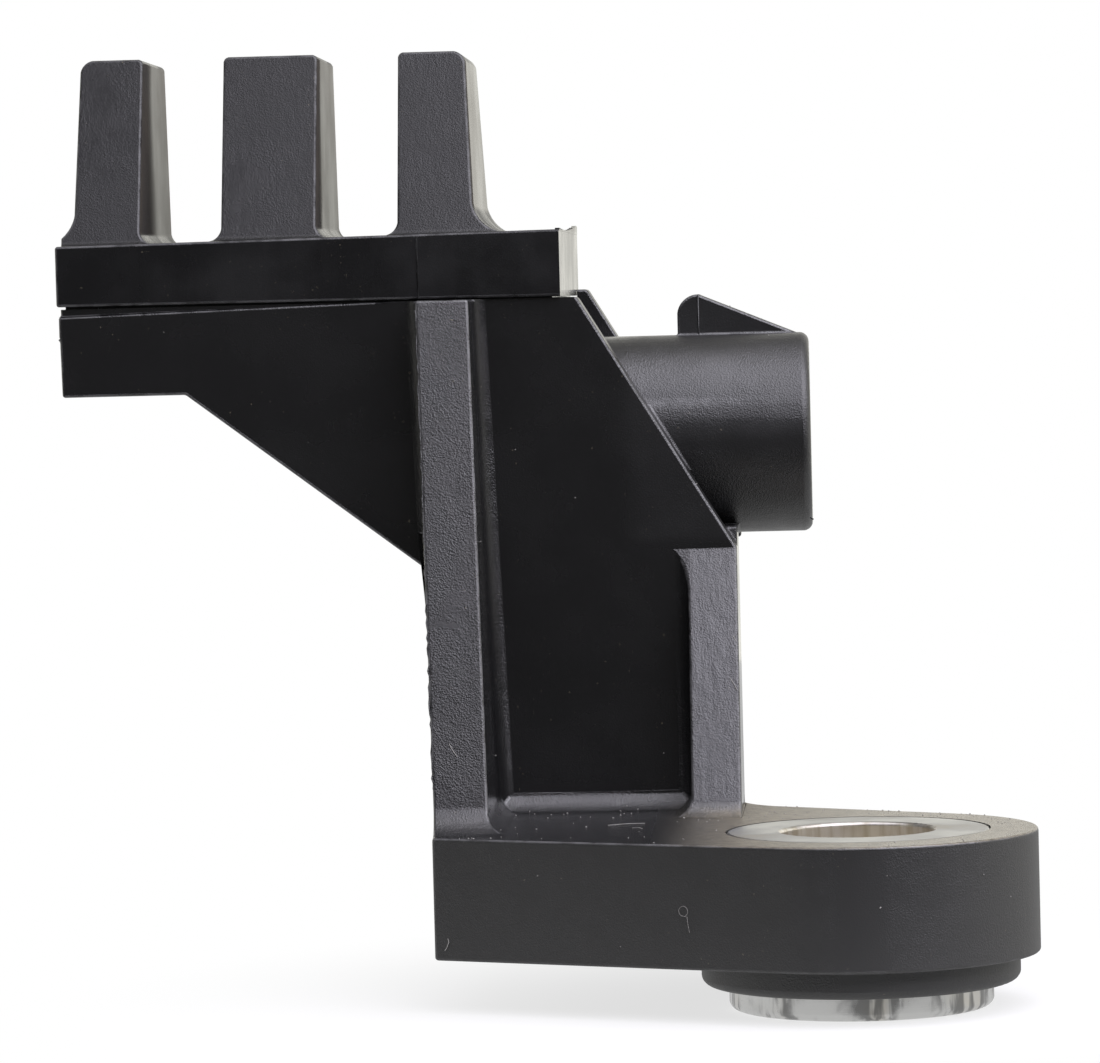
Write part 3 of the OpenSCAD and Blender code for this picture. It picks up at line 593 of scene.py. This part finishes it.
def pale_floor(look):
    """A matt floor that fades into white away from the foot, and that the sensor mirrors as an even grey."""
    material, tree, shader = new_material("pale_floor")
    shader.inputs["Base Color"].default_value = look.floor_colour
    shader.inputs["Roughness"].default_value = 0.9
    shader.inputs["Specular IOR Level"].default_value = 0.0
    place = add_node(tree, "ShaderNodeTexCoord").outputs["Object"]
    foot = Vector((0, 0, CAD_BOX[0].z))
    away = add_node(tree, "ShaderNodeVectorMath", {0: place, 1: foot}, operation="DISTANCE")
    fade = ramp_node(tree, away.outputs["Value"], *FLOOR_FADE, FLOOR_WHITE, 1.0)
    path = add_node(tree, "ShaderNodeLightPath")
    mirrored = path.outputs["Is Glossy Ray"]
    share = math_node(tree, "MAXIMUM", product(tree, fade, path.outputs["Is Camera Ray"]), mirrored)
    bright = mix_value(tree, mirrored, 1.0, look.mirrored_floor)
    white = add_node(tree, "ShaderNodeEmission", {"Color": WHITE, "Strength": bright})
    mix = add_node(tree, "ShaderNodeMixShader", {0: share, 1: shader.outputs[0], 2: white.outputs[0]})
    tree.links.new(mix.outputs[0], tree.nodes["Material Output"].inputs["Surface"])
    return material


# Mesh helpers

def new_piece(name, mesh, material):
    """Links a mesh as a piece with one material."""
    piece = bpy.data.objects.new(name, mesh)
    bpy.context.scene.collection.objects.link(piece)
    mesh.materials.clear()
    mesh.materials.append(material)
    return piece


def touching(node):
    """Returns search trees of the other nodes, against which a node's hidden edges lie."""
    trees = []
    for name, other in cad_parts.items():
        if name != node:
            corners = [vertex.co for vertex in other.data.vertices]
            trees.append(BVHTree.FromPolygons(corners, [face.vertices for face in other.data.polygons]))
    return trees


def edge_weight(edge, width):
    """How much of the rounding an edge takes: none between a curved face's facets, less on a narrow face."""
    if len(edge.link_faces) != 2:
        return 0.0
    angle = edge.calc_face_angle()
    area = min(face.calc_area() for face in edge.link_faces)
    if angle < FLAT_ANGLE or angle < SHARP_ANGLE and area < FLAT_AREA:
        return 0.0
    turn = (angle - FLAT_ANGLE) / (FULL_ANGLE - FLAT_ANGLE)
    room = ROOM_SHARE * area / edge.calc_length() / width
    return min(1.0, turn, room)


def mark_edges(work, node, width, sharp_from):
    """Weights the sharp edges that stand clear of other pieces and left of an X, so that they are rounded."""
    weight = work.edges.layers.float.new("bevel_weight_edge")
    trees = touching(node)
    for edge in work.edges:
        share = edge_weight(edge, width)
        middle = (edge.verts[0].co + edge.verts[1].co) / 2
        clear = all(tree.find_nearest(middle, HIDDEN_GAP)[0] is None for tree in trees)
        if share and clear and min(vertex.co.x for vertex in edge.verts) < sharp_from:
            edge[weight] = share


def mark_highlit_edges(mesh, unrounded, width):
    """Marks the points of the rounded edges, where a highlight is painted, and puts those that stray back on
    the unrounded faces.
    """
    # The points along which the edge highlight is painted
    worn = mesh.attributes.new(HIGHLIT_EDGE, "FLOAT", "POINT")
    for vertex in mesh.vertices:
        place, _, _, distance = unrounded.find_nearest(vertex.co)
        if distance > SPIKE_SHARE * width:
            vertex.co = place
        elif distance > HIGHLIT_SHARE * width:
            worn.data[vertex.index].value = 1.0


def is_curved(face):
    """Tells a facet of a curved face, which turns a little into a facet of like size, from a flat face."""
    for edge in face.edges:
        for other in edge.link_faces:
            share = other.calc_area() / max(face.calc_area(), 1e-12)
            turns = CURVE_ANGLES[0] < face.normal.angle(other.normal, 0.0) < CURVE_ANGLES[1]
            if other is not face and turns and LIKE_AREA[0] < share < LIKE_AREA[1]:
                return True
    return False


def even_normals(mesh):
    """Keeps the flat faces flat and lets rounded edges and curved faces run smoothly into them."""
    work = bmesh.new()
    work.from_mesh(mesh)
    work.normal_update()
    work.faces.ensure_lookup_table()
    flat = {face.index for face in work.faces if face.calc_area() > FLAT_FACE and not is_curved(face)}
    normals = []
    for face in work.faces:
        for loop in face.loops:
            around = [(other.normal.dot(face.normal), other) for other in loop.vert.link_faces]
            level = [(share, other.index) for share, other in around
                     if other.index in flat and share > LEVEL_COSINE]
            near = [other for share, other in around if other.index not in flat and share > SMOOTH_COSINE]
            if face.index in flat or not near:
                normals.append(face.normal.copy())
            elif level:
                normals.append(work.faces[max(level)[1]].normal.copy())
            else:
                sloped = sum((other.normal * other.calc_area() for other in near), Vector())
                normals.append(sloped.normalized())
    work.free()
    mesh.normals_split_custom_set(normals)


def apply_modifiers(piece):
    """Makes the result of a piece's modifiers its own plain mesh, with smooth faces."""
    graph = bpy.context.evaluated_depsgraph_get()
    piece.data = bpy.data.meshes.new_from_object(piece.evaluated_get(graph))
    piece.modifiers.clear()
    for polygon in piece.data.polygons:
        polygon.use_smooth = True


def moulded_copy(node, name, edge, material, sharp_from=math.inf):
    """Copies a node, joins its loose triangles into faces and rounds the sharp edges left of an X."""
    piece = new_piece(name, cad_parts[node].data.copy(), material)
    work = bmesh.new()
    work.from_mesh(piece.data)
    bmesh.ops.remove_doubles(work, verts=work.verts, dist=JOIN_GAP)
    bmesh.ops.dissolve_limit(work, angle_limit=JOIN_ANGLE, verts=work.verts, edges=work.edges)
    mark_edges(work, node, edge, sharp_from)
    unrounded = BVHTree.FromBMesh(work)
    work.to_mesh(piece.data)
    work.free()
    bevel = piece.modifiers.new("rounded_edges", "BEVEL")
    bevel.width = edge
    bevel.segments = EDGE_SEGMENTS
    bevel.limit_method = "WEIGHT"
    bevel.use_clamp_overlap = False
    apply_modifiers(piece)
    mark_highlit_edges(piece.data, unrounded, edge)
    for polygon in piece.data.polygons:
        polygon.material_index = 0
    even_normals(piece.data)
    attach(piece, BODY)
    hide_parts(node)
    return piece


# Pieces made with Geometry Nodes

def finish_tree(tree, geometry, material):
    """Ends a Geometry Nodes tree: makes the instances real, sets the material and gives the result."""
    real = add_node(tree, "GeometryNodeRealizeInstances", {0: geometry})
    finish = add_node(tree, "GeometryNodeSetMaterial", {"Geometry": real.outputs[0], "Material": material})
    result = tree.nodes.new("NodeGroupOutput")
    tree.links.new(finish.outputs[0], result.inputs[0])


def made_plain(tree, name, mesh, material, values):
    """Runs a Geometry Nodes tree on a mesh, and returns the result as a plain piece on the body."""
    piece = new_piece(name, mesh, material)
    modifier = piece.modifiers.new(name, "NODES")
    modifier.node_group = tree
    for socket, value in values.items():
        modifier[socket] = value
    apply_modifiers(piece)
    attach(piece, BODY)
    return piece


def swept_lines(name, lines, radius, material):
    """Sweeps a thin round section along lines of points in millimetres, and returns a plain piece."""
    tree = bpy.data.node_groups.new(name, "GeometryNodeTree")
    tree.interface.new_socket("Lines", in_out="INPUT", socket_type="NodeSocketGeometry")
    size = tree.interface.new_socket("Radius", in_out="INPUT", socket_type="NodeSocketFloat")
    tree.interface.new_socket("Ridges", in_out="OUTPUT", socket_type="NodeSocketGeometry")
    given = tree.nodes.new("NodeGroupInput")
    curve = add_node(tree, "GeometryNodeMeshToCurve", {"Mesh": given.outputs["Lines"]})
    section = add_node(tree, "GeometryNodeCurvePrimitiveCircle", {
        "Resolution": SECTION_SIDES, "Radius": given.outputs["Radius"]})
    sweep = add_node(tree, "GeometryNodeCurveToMesh", {
        "Curve": curve.outputs[0], "Profile Curve": section.outputs[0], "Fill Caps": True})
    finish_tree(tree, sweep.outputs[0], material)

    mesh = bpy.data.meshes.new(name)
    points = [Vector(point) * MM for line in lines for point in line]
    edges = []
    first = 0
    for line in lines:
        edges += [(first + step, first + step + 1) for step in range(len(line) - 1)]
        first += len(line)
    mesh.from_pydata(points, edges, [])
    return made_plain(tree, name, mesh, material, {size.identifier: radius})


def crumb_density(tree):
    """How many crumbs lie on each square metre: most on the foot's round rim, then along its front edge."""
    place = tree.nodes.new("GeometryNodeInputPosition").outputs[0]
    x, y, z = split_vector(tree, place)
    normal = tree.nodes.new("GeometryNodeInputNormal").outputs[0]
    level = ramp_node(tree, split_vector(tree, normal)[2], 0.5, 0.9)
    low = product(tree, ramp_node(tree, z, *CRUMB_HEIGHTS[:2]),
                  ramp_node(tree, z, *CRUMB_HEIGHTS[2:], 1.0, 0.0))
    on_foot = product(tree, level, low)
    radius = axis_distance(tree, x, y)
    rim = product(tree, ramp_node(tree, radius, *CRUMB_RADII[:2]),
                  ramp_node(tree, radius, *CRUMB_RADII[2:], 1.0, 0.15))
    inwards = total(tree, product(tree, x, -ALONG_FRONT[1]), product(tree, y, ALONG_FRONT[0]))
    front = ramp_node(tree, inwards, *CRUMB_FRONT, 0.6, 0.05)
    edges = math_node(tree, "MAXIMUM", rim, front)
    patches = ramp_node(tree, noise_node(tree, place, CRUMB_FINENESS), 0.45, 0.7)
    dense = product(tree, edges, patches, on_foot, CRUMBS_ON_FOOT)
    return total(tree, dense, CRUMBS_ELSEWHERE)


def scattered_crumbs(name, mesh, radius, material):
    """Scatters small uneven crumbs over a mesh, and returns them as a plain piece."""
    tree = bpy.data.node_groups.new(name, "GeometryNodeTree")
    tree.interface.new_socket("Surface", in_out="INPUT", socket_type="NodeSocketGeometry")
    size = tree.interface.new_socket("Radius", in_out="INPUT", socket_type="NodeSocketFloat")
    tree.interface.new_socket("Crumbs", in_out="OUTPUT", socket_type="NodeSocketGeometry")
    given = tree.nodes.new("NodeGroupInput")
    points = add_node(tree, "GeometryNodeDistributePointsOnFaces", {
        "Mesh": given.outputs["Surface"], "Density": crumb_density(tree), "Seed": 3})
    crumb = add_node(tree, "GeometryNodeMeshIcoSphere", {
        "Radius": given.outputs["Radius"], "Subdivisions": 1})
    scale = add_node(tree, "FunctionNodeRandomValue", {0: CRUMB_SCALES[0], 1: CRUMB_SCALES[1], "Seed": 1},
                     data_type="FLOAT_VECTOR")
    turn = add_node(tree, "FunctionNodeRandomValue", {0: (0, 0, 0), 1: FULL_TURNS, "Seed": 2},
                    data_type="FLOAT_VECTOR")
    placed = add_node(tree, "GeometryNodeInstanceOnPoints", {
        "Points": points.outputs["Points"], "Instance": crumb.outputs["Mesh"], "Rotation": turn.outputs[0],
        "Scale": scale.outputs[0]})
    finish_tree(tree, placed.outputs[0], material)
    return made_plain(tree, name, mesh, material, {size.identifier: radius})


# Pieces

class SENSOR_OT_housing(bpy.types.Operator):
    """Finishes the housing moulding."""

    bl_idname = "sensor.housing"
    bl_label = "Housing"

    def execute(self, context):
        look = context.scene.sensor_moulding
        material = black_plastic(look, "black_glass_filled_plastic",
                                 streaks=0.2, grained=1.0, gloss=1.7, slots=0.0)
        piece = moulded_copy("housing", "housing_moulding", look.edge, material)
        return {"FINISHED"}


class SENSOR_OT_sensing_head(bpy.types.Operator):
    """Finishes the sensing head's moulding."""

    bl_idname = "sensor.sensing_head"
    bl_label = "Sensing head"

    # The edges of the block's right end stay sharp within this distance of it
    SHARP_END = 0.05 * MM

    def execute(self, context):
        look = context.scene.sensor_moulding
        material = black_plastic(look, "streaked_black_plastic",
                                 streaks=0.6, grained=0.65, gloss=1.48, slots=1.0)
        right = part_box("sensing_head")[1].x
        piece = moulded_copy("sensing_head", "head_moulding", look.edge, material, right - self.SHARP_END)
        return {"FINISHED"}


class SENSOR_OT_bush(bpy.types.Operator):
    """Finishes the compression bush."""

    bl_idname = "sensor.bush"
    bl_label = "Compression bush"

    EDGE = 0.06 * MM

    def execute(self, context):
        material = plated_metal(context.scene.sensor_bush)
        piece = moulded_copy("compression_bush", "turned_bush", self.EDGE, material)
        return {"FINISHED"}


class SENSOR_OT_terminals(bpy.types.Operator):
    """Finishes the four tinned terminals."""

    bl_idname = "sensor.terminals"
    bl_label = "Terminals"

    EDGE = 0.07 * MM

    def execute(self, context):
        tin = mottled("tinned_brass", (0.60, 0.59, 0.56), (0.74, 0.73, 0.71), 1.2 * MM, 0.26,
                      metallic=1.0, stretch=(0.2, 1, 1), depth=0.006 * MM)
        for circuit in ("supply", "ground", "outer_signal", "inner_signal"):
            piece = moulded_copy(circuit + "_terminal", circuit + "_blade", self.EDGE, tin)
        return {"FINISHED"}


class SENSOR_OT_inside(bpy.types.Operator):
    """Gives the sealed pieces inside the head their finishes."""

    bl_idname = "sensor.inside"
    bl_label = "Inside the head"

    # How the steel's and the leads' finish is drawn out along Z
    DRAWN = (1, 1, 0.2)

    def execute(self, context):
        steel = mottled("rolled_steel", (0.42, 0.42, 0.42), (0.58, 0.57, 0.56), 0.9 * MM, 0.34,
                        metallic=1.0, stretch=self.DRAWN)
        epoxy = mottled("switch_epoxy", (0.03, 0.03, 0.03), (0.06, 0.06, 0.06), 0.5 * MM, 0.55)
        leads = mottled("tinned_leads", (0.58, 0.58, 0.57), (0.75, 0.74, 0.72), 0.4 * MM, 0.28,
                        metallic=1.0, stretch=self.DRAWN)
        magnet = mottled("sintered_magnet", (0.2, 0.2, 0.21), (0.36, 0.36, 0.37), 0.3 * MM, 0.5, metallic=0.8)
        laminate = mottled("board_laminate", (0.02, 0.10, 0.045), (0.04, 0.2, 0.09), 1.6 * MM, 0.35)
        ceramic = mottled("fired_capacitor", (0.40, 0.29, 0.18), (0.55, 0.42, 0.28), 0.4 * MM, 0.5)
        glaze = mottled("glazed_resistor", (0.02, 0.02, 0.02), (0.05, 0.05, 0.05), 0.4 * MM, 0.3)
        resin = mottled("potting_resin", (0.03, 0.026, 0.022), (0.055, 0.05, 0.045), 2.5 * MM, 0.22)
        finishes = {
            "magnet": magnet,
            "outer_pole_plate": steel, "inner_pole_plate": steel,
            "outer_flux_plate": steel, "inner_flux_plate": steel,
            "outer_hall_switch": epoxy, "inner_hall_switch": epoxy,
            "outer_hall_leads": leads, "inner_hall_leads": leads,
            "circuit_board": laminate,
            "bypass_capacitors": ceramic,
            "series_resistors": glaze,
            "potting_fill": resin,
        }
        for node, material in finishes.items():
            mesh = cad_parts[node].data
            mesh.materials.clear()
            mesh.materials.append(material)
        return {"FINISHED"}


class SENSOR_OT_flash(bpy.types.Operator):
    """Adds the moulding flash on the latch ramp and the shroud, and the torn burr on the block's end."""

    bl_idname = "sensor.flash"
    bl_label = "Flash"

    # All sizes here are in millimetres. Lines over the latch ramp and at the shroud's rim
    LATCH = [(-8.8, 25.48, 38.0), (-8.8, 25.48, 40.48), (-8.8, 30.52, 40.48), (-8.8, 30.52, 38.0)]
    NIB = [(-2.25, 20.3, 26.9), (-2.08, 20.2, 26.8)]

    # The ragged edge of the left wall, from its foot to its top
    WALL_EDGE = ((-24.26, 2.85, 12.5), (-25.14, 11.5, 40.0))
    RAGGED_STEPS = 90
    RAGGED_DEPTH = 0.05

    # The burr's start and end, its heights from the front to the back and the least height under them, the
    # share of those that is drawn for a tooth, its thickness, and the number of its teeth
    BURR_Y = (14.9, 41.3)
    BURR_HEIGHTS = (0.1, 0.04, 0.02, 0.16, 0.36, 0.55)
    BURR_LEAST = 0.08
    BURR_SHARES = (0.75, 1.0)
    BURR_THICK = 0.25
    BURR_TEETH = 35

    # How far the burr stands out of the block's right end, and how far over the block's top it starts
    BURR_OUT = 0.02
    BURR_RISE = 0.2

    def execute(self, context):
        look = context.scene.sensor_flash
        draw = random.Random(5)
        lines = [self.LATCH, self.NIB, self.ragged(self.WALL_EDGE, draw)]
        plastic = bpy.data.materials["black_glass_filled_plastic"]
        piece = swept_lines("parting_flash", lines, look.ridge, plastic)
        self.burr(bpy.data.materials["streaked_black_plastic"], draw)
        return {"FINISHED"}

    def ragged(self, ends, draw):
        """A line between two ends that wanders a little to each side."""
        low, high = (Vector(end) for end in ends)
        line = []
        for step in range(self.RAGGED_STEPS + 1):
            stray = Vector([draw.uniform(-self.RAGGED_DEPTH, self.RAGGED_DEPTH) for _ in range(3)])
            line.append(low.lerp(high, step / self.RAGGED_STEPS) + stray)
        return line

    def burr_height(self, share):
        """The burr's height at a share of its way from the front to the back."""
        part, step = math.modf(share * (len(self.BURR_HEIGHTS) - 1))
        near = self.BURR_HEIGHTS[int(step)]
        far = self.BURR_HEIGHTS[min(int(step) + 1, len(self.BURR_HEIGHTS) - 1)]
        return near + part * (far - near)

    def burr(self, material, draw):
        """A ragged fin that rises along the top of the block's right end."""
        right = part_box("sensing_head")[1].x + self.BURR_OUT * MM
        left = right - self.BURR_THICK * MM
        base = BLOCK_TOP + self.BURR_RISE * MM
        corners = []
        for tooth in range(self.BURR_TEETH + 1):
            share = tooth / self.BURR_TEETH
            y = (self.BURR_Y[0] + share * (self.BURR_Y[1] - self.BURR_Y[0])) * MM
            height = self.BURR_LEAST + self.burr_height(share) * draw.uniform(*self.BURR_SHARES)
            top = base + height * MM
            corners += [(right, y, base), (right, y, top), (left, y, top), (left, y, base)]
        faces = [(0, 1, 2, 3), tuple(len(corners) - step for step in (1, 2, 3, 4))]
        for first in range(0, len(corners) - 4, 4):
            for side in range(4):
                following = (side + 1) % 4
                faces.append((first + side, first + side + 4, first + following + 4, first + following))
        mesh = bpy.data.meshes.new("end_burr")
        mesh.from_pydata(corners, [], faces)
        piece = new_piece("end_burr", mesh, material)
        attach(piece, BODY)


class SENSOR_OT_dust(bpy.types.Operator):
    """Adds the dust: fibres that lie on the faces, and crumbs that gather on the foot."""

    bl_idname = "sensor.dust"
    bl_label = "Dust"

    # All sizes here are in millimetres. Fibres on the foot's top, the wall, the flange and the foot's front
    FIBRES = [
        [(-14.35, 5.05, 10.04), (-13.3, 5.5, 10.06), (-12.24, 5.78, 10.04)],
        [(-12.9, 3.2, 10.04), (-12.5, 3.0, 10.07), (-12.3, 2.6, 10.04)],
        [(-23.32, 3.56, 15.07), (-23.13, 3.44, 14.74), (-22.86, 3.32, 14.33)],
        [(-7.21, 11.96, 17.92), (-7.0, 11.8, 17.6), (-6.81, 11.7, 17.23)],
        [(-6.99, 12.86, 20.34), (-6.81, 12.76, 20.05)],
        [(-23.62, -0.3, 3.6), (-23.5, -0.38, 3.75), (-23.36, -0.43, 4.1), (-23.42, -0.4, 4.3)],
    ]

    # A curled fibre on the foot's front: the middle and the radius of its loop, the loop's first angle, its
    # turn for each step and its steps, and its thickness as a share of the others'
    CURL = (-9.85, -6.72, 6.3)
    CURL_RADIUS = 0.28
    CURL_START = math.radians(-60)
    CURL_TURN = math.radians(24)
    CURL_STEPS = 15
    CURL_SHARE = 0.55

    # The curled fibre's tail: its start under the loop's middle, its height, its steps, and how far out it
    # starts and bends, as shares of the loop's radius
    TAIL_START = 0.1
    TAIL_HEIGHT = 1.1
    TAIL_STEPS = 5
    TAIL_OUT = 0.8
    TAIL_BEND = 0.5

    # How dark the fibres' darker colour is, and the size of its patches
    FIBRE_SHADE = 0.7
    FIBRE_PATCH = 0.3

    def execute(self, context):
        look = context.scene.sensor_flash
        light = look.fibre_colour[:3]
        dark = tuple(self.FIBRE_SHADE * part for part in light)
        material = mottled("dust_fibre", dark, light, self.FIBRE_PATCH * MM, 0.7)
        fibres = swept_lines("dust_fibres", self.FIBRES, look.fibre, material)
        curl = swept_lines("curled_fibre", [self.curl()], look.fibre * self.CURL_SHARE, material)
        crumbs = scattered_crumbs("dust_crumbs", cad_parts["housing"].data.copy(), look.crumb, material)
        return {"FINISHED"}

    def on_front(self, out, up):
        """A point on the foot's front, by its way along the front and up from the middle of the loop."""
        x, y, z = self.CURL
        return x + out * ALONG_FRONT[0], y + out * ALONG_FRONT[1], z + up

    def curl(self):
        """The curled fibre as a line: most of a circle, and a tail that runs down from it."""
        line = []
        for step in range(self.CURL_STEPS):
            angle = self.CURL_START + self.CURL_TURN * step
            line.append(self.on_front(self.CURL_RADIUS * math.cos(angle), self.CURL_RADIUS * math.sin(angle)))
        for step in range(1, self.TAIL_STEPS + 1):
            share = step / self.TAIL_STEPS
            out = self.CURL_RADIUS * (self.TAIL_OUT + self.TAIL_BEND * share * share)
            line.append(self.on_front(out, -self.TAIL_START - self.TAIL_HEIGHT * share))
        return line


class SENSOR_OT_stage(bpy.types.Operator):
    """Makes the floor, the light, the background and the camera."""

    bl_idname = "sensor.stage"
    bl_label = "Stage"

    # Two corners of each softbox, which is level
    RIGHT_CORNERS = ((-0.02, -0.54, 0.33), (0.65, 0.08, 0.33))
    LEFT_CORNERS = ((-0.35, -0.36, 0.33), (-0.02, 0.08, 0.33))

    # The number of the floor's sides, and how far it lies under the bush
    FLOOR_SIDES = 96
    FLOOR_GAP = 0.05 * MM

    # The room in reflections: where it brightens from the camera's side to the back, where it darkens towards
    # the ceiling and to what share, and its warm tint
    ROOM_BACK = (-0.6, 0.25)
    ROOM_CEILING = (0.2, 0.55)
    CEILING_SHARE = 0.3
    ROOM_TINT = (1.0, 0.985, 0.91, 1.0)

    def execute(self, context):
        look = context.scene.sensor_stage
        self.floor(look)
        right = self.softbox("right_softbox", look.softbox, look.softbox_colour, self.RIGHT_CORNERS)
        self.on_bush(right, "EXCLUDE")
        metal = self.softbox("metal_softbox", look.metal_softbox, look.softbox_colour, self.RIGHT_CORNERS)
        self.on_bush(metal, "INCLUDE")
        self.softbox("left_softbox", look.fill, look.softbox_colour, self.LEFT_CORNERS)
        self.background(context.scene, look)
        self.camera(context.scene)
        context.scene.view_settings.view_transform = "Standard"
        return {"FINISHED"}

    def floor(self, look):
        """A round pale floor under the bush."""
        low, high = CAD_BOX
        work = bmesh.new()
        bmesh.ops.create_circle(work, cap_ends=True, radius=look.floor_radius, segments=self.FLOOR_SIDES)
        mesh = bpy.data.meshes.new("floor")
        work.to_mesh(mesh)
        work.free()
        middle = (low + high) / 2
        middle.y = low.y - FLOOR_FRONT + look.floor_radius
        mesh.transform(Matrix.Translation((middle.x, middle.y, low.z - self.FLOOR_GAP)))
        floor = new_piece("floor", mesh, pale_floor(look))

    def softbox(self, name, brightness, colour, corners):
        """A level softbox between two corners."""
        low, high = (Vector(corner) for corner in corners)
        lamp = bpy.data.lights.new(name, "AREA")
        lamp.shape = "RECTANGLE"
        lamp.size = high.x - low.x
        lamp.size_y = high.y - low.y
        lamp.color = colour
        lamp.energy = brightness * math.pi * lamp.size * lamp.size_y
        light = bpy.data.objects.new(name, lamp)
        light.location = (low + high) / 2
        bpy.context.scene.collection.objects.link(light)
        return light

    def on_bush(self, light, state):
        """Keeps a light off the bright bush, or to it, so that the bush doesn't mirror it as plain white."""
        receivers = bpy.data.collections.new(light.name + "_receivers")
        receivers.objects.link(bpy.data.objects["turned_bush"])
        light.light_linking.receiver_collection = receivers
        receivers.collection_objects[0].light_linking.link_state = state

    def background(self, scene, look):
        """A white room whose reflections darken towards the side where the camera stands and the ceiling."""
        world = bpy.data.worlds.new("studio")
        world.use_nodes = True
        scene.world = world
        tree = world.node_tree
        background = tree.nodes["Background"]
        way = add_node(tree, "ShaderNodeTexCoord").outputs["Generated"]
        _, back, up = split_vector(tree, way)
        mirrored = product(tree, ramp_node(tree, back, *self.ROOM_BACK, look.dark_side, 1.0),
                           ramp_node(tree, up, *self.ROOM_CEILING, 1.0, self.CEILING_SHARE))
        path = add_node(tree, "ShaderNodeLightPath")
        glossy = path.outputs["Is Glossy Ray"]
        seen = math_node(tree, "MAXIMUM", glossy, path.outputs["Is Transmission Ray"])
        room = mix_value(tree, seen, look.ambient, mirrored)
        strength = mix_value(tree, path.outputs["Is Camera Ray"], room, 1.0)
        tree.links.new(strength, background.inputs["Strength"])
        tree.links.new(mix_colour(tree, glossy, WHITE, self.ROOM_TINT), background.inputs["Color"])

    def camera(self, scene):
        """The camera at the photograph's angle, turned by its vanishing point and its roll."""
        centre = Vector(IMAGE_SIZE) / 2
        reach = (Vector(DEPTH_VANISHING_POINT) - centre) / FOCAL_PIXELS
        depth = Vector((reach.x, -reach.y, -1)).normalized()
        upright = Vector((-CAMERA_ROLL, 1, 0))
        up = (upright - depth * upright.dot(depth)).normalized()
        across = depth.cross(up)
        data = bpy.data.cameras.new("camera")
        data.sensor_width = SENSOR_WIDTH_MM
        data.lens = FOCAL_PIXELS / IMAGE_SIZE[0] * SENSOR_WIDTH_MM
        data.clip_start = CLIP_START
        camera = bpy.data.objects.new("camera", data)
        turn = Matrix((across, depth, up)).to_4x4()
        camera.matrix_world = Matrix.Translation(Vector(CAMERA_PLACE_MM) * MM) @ turn
        scene.collection.objects.link(camera)
        scene.camera = camera


class SENSOR_PT_sidebar(bpy.types.Panel):
    """Lists the sensor's pieces and their finishes."""

    bl_idname = "SENSOR_PT_sidebar"
    bl_label = "Crankshaft position sensor"
    bl_space_type = "VIEW_3D"
    bl_region_type = "UI"
    bl_category = "Sensor"

    def draw(self, context):
        for operator in OPERATORS:
            self.layout.operator(operator.bl_idname)
        for group in LOOKS:
            settings = getattr(context.scene, group)
            for name in settings.__annotations__:
                self.layout.prop(settings, name)


LOOKS = {"sensor_moulding": MouldingLook, "sensor_flash": FlashLook, "sensor_bush": BushLook,
         "sensor_stage": StageLook}
OPERATORS = (SENSOR_OT_housing, SENSOR_OT_sensing_head, SENSOR_OT_bush, SENSOR_OT_terminals, SENSOR_OT_inside,
             SENSOR_OT_flash, SENSOR_OT_dust, SENSOR_OT_stage)


def register():
    for name, group in LOOKS.items():
        bpy.utils.register_class(group)
        setattr(bpy.types.Scene, name, bpy.props.PointerProperty(type=group))
    for operator in OPERATORS:
        bpy.utils.register_class(operator)
    bpy.utils.register_class(SENSOR_PT_sidebar)


def unregister():
    bpy.utils.unregister_class(SENSOR_PT_sidebar)
    for operator in reversed(OPERATORS):
        bpy.utils.unregister_class(operator)
    for name, group in LOOKS.items():
        delattr(bpy.types.Scene, name)
        bpy.utils.unregister_class(group)


def main():
    register()
    bpy.ops.sensor.housing()
    bpy.ops.sensor.sensing_head()
    bpy.ops.sensor.bush()
    bpy.ops.sensor.terminals()
    bpy.ops.sensor.inside()
    bpy.ops.sensor.flash()
    bpy.ops.sensor.dust()
    bpy.ops.sensor.stage()


if __name__ == "__main__":
    main()
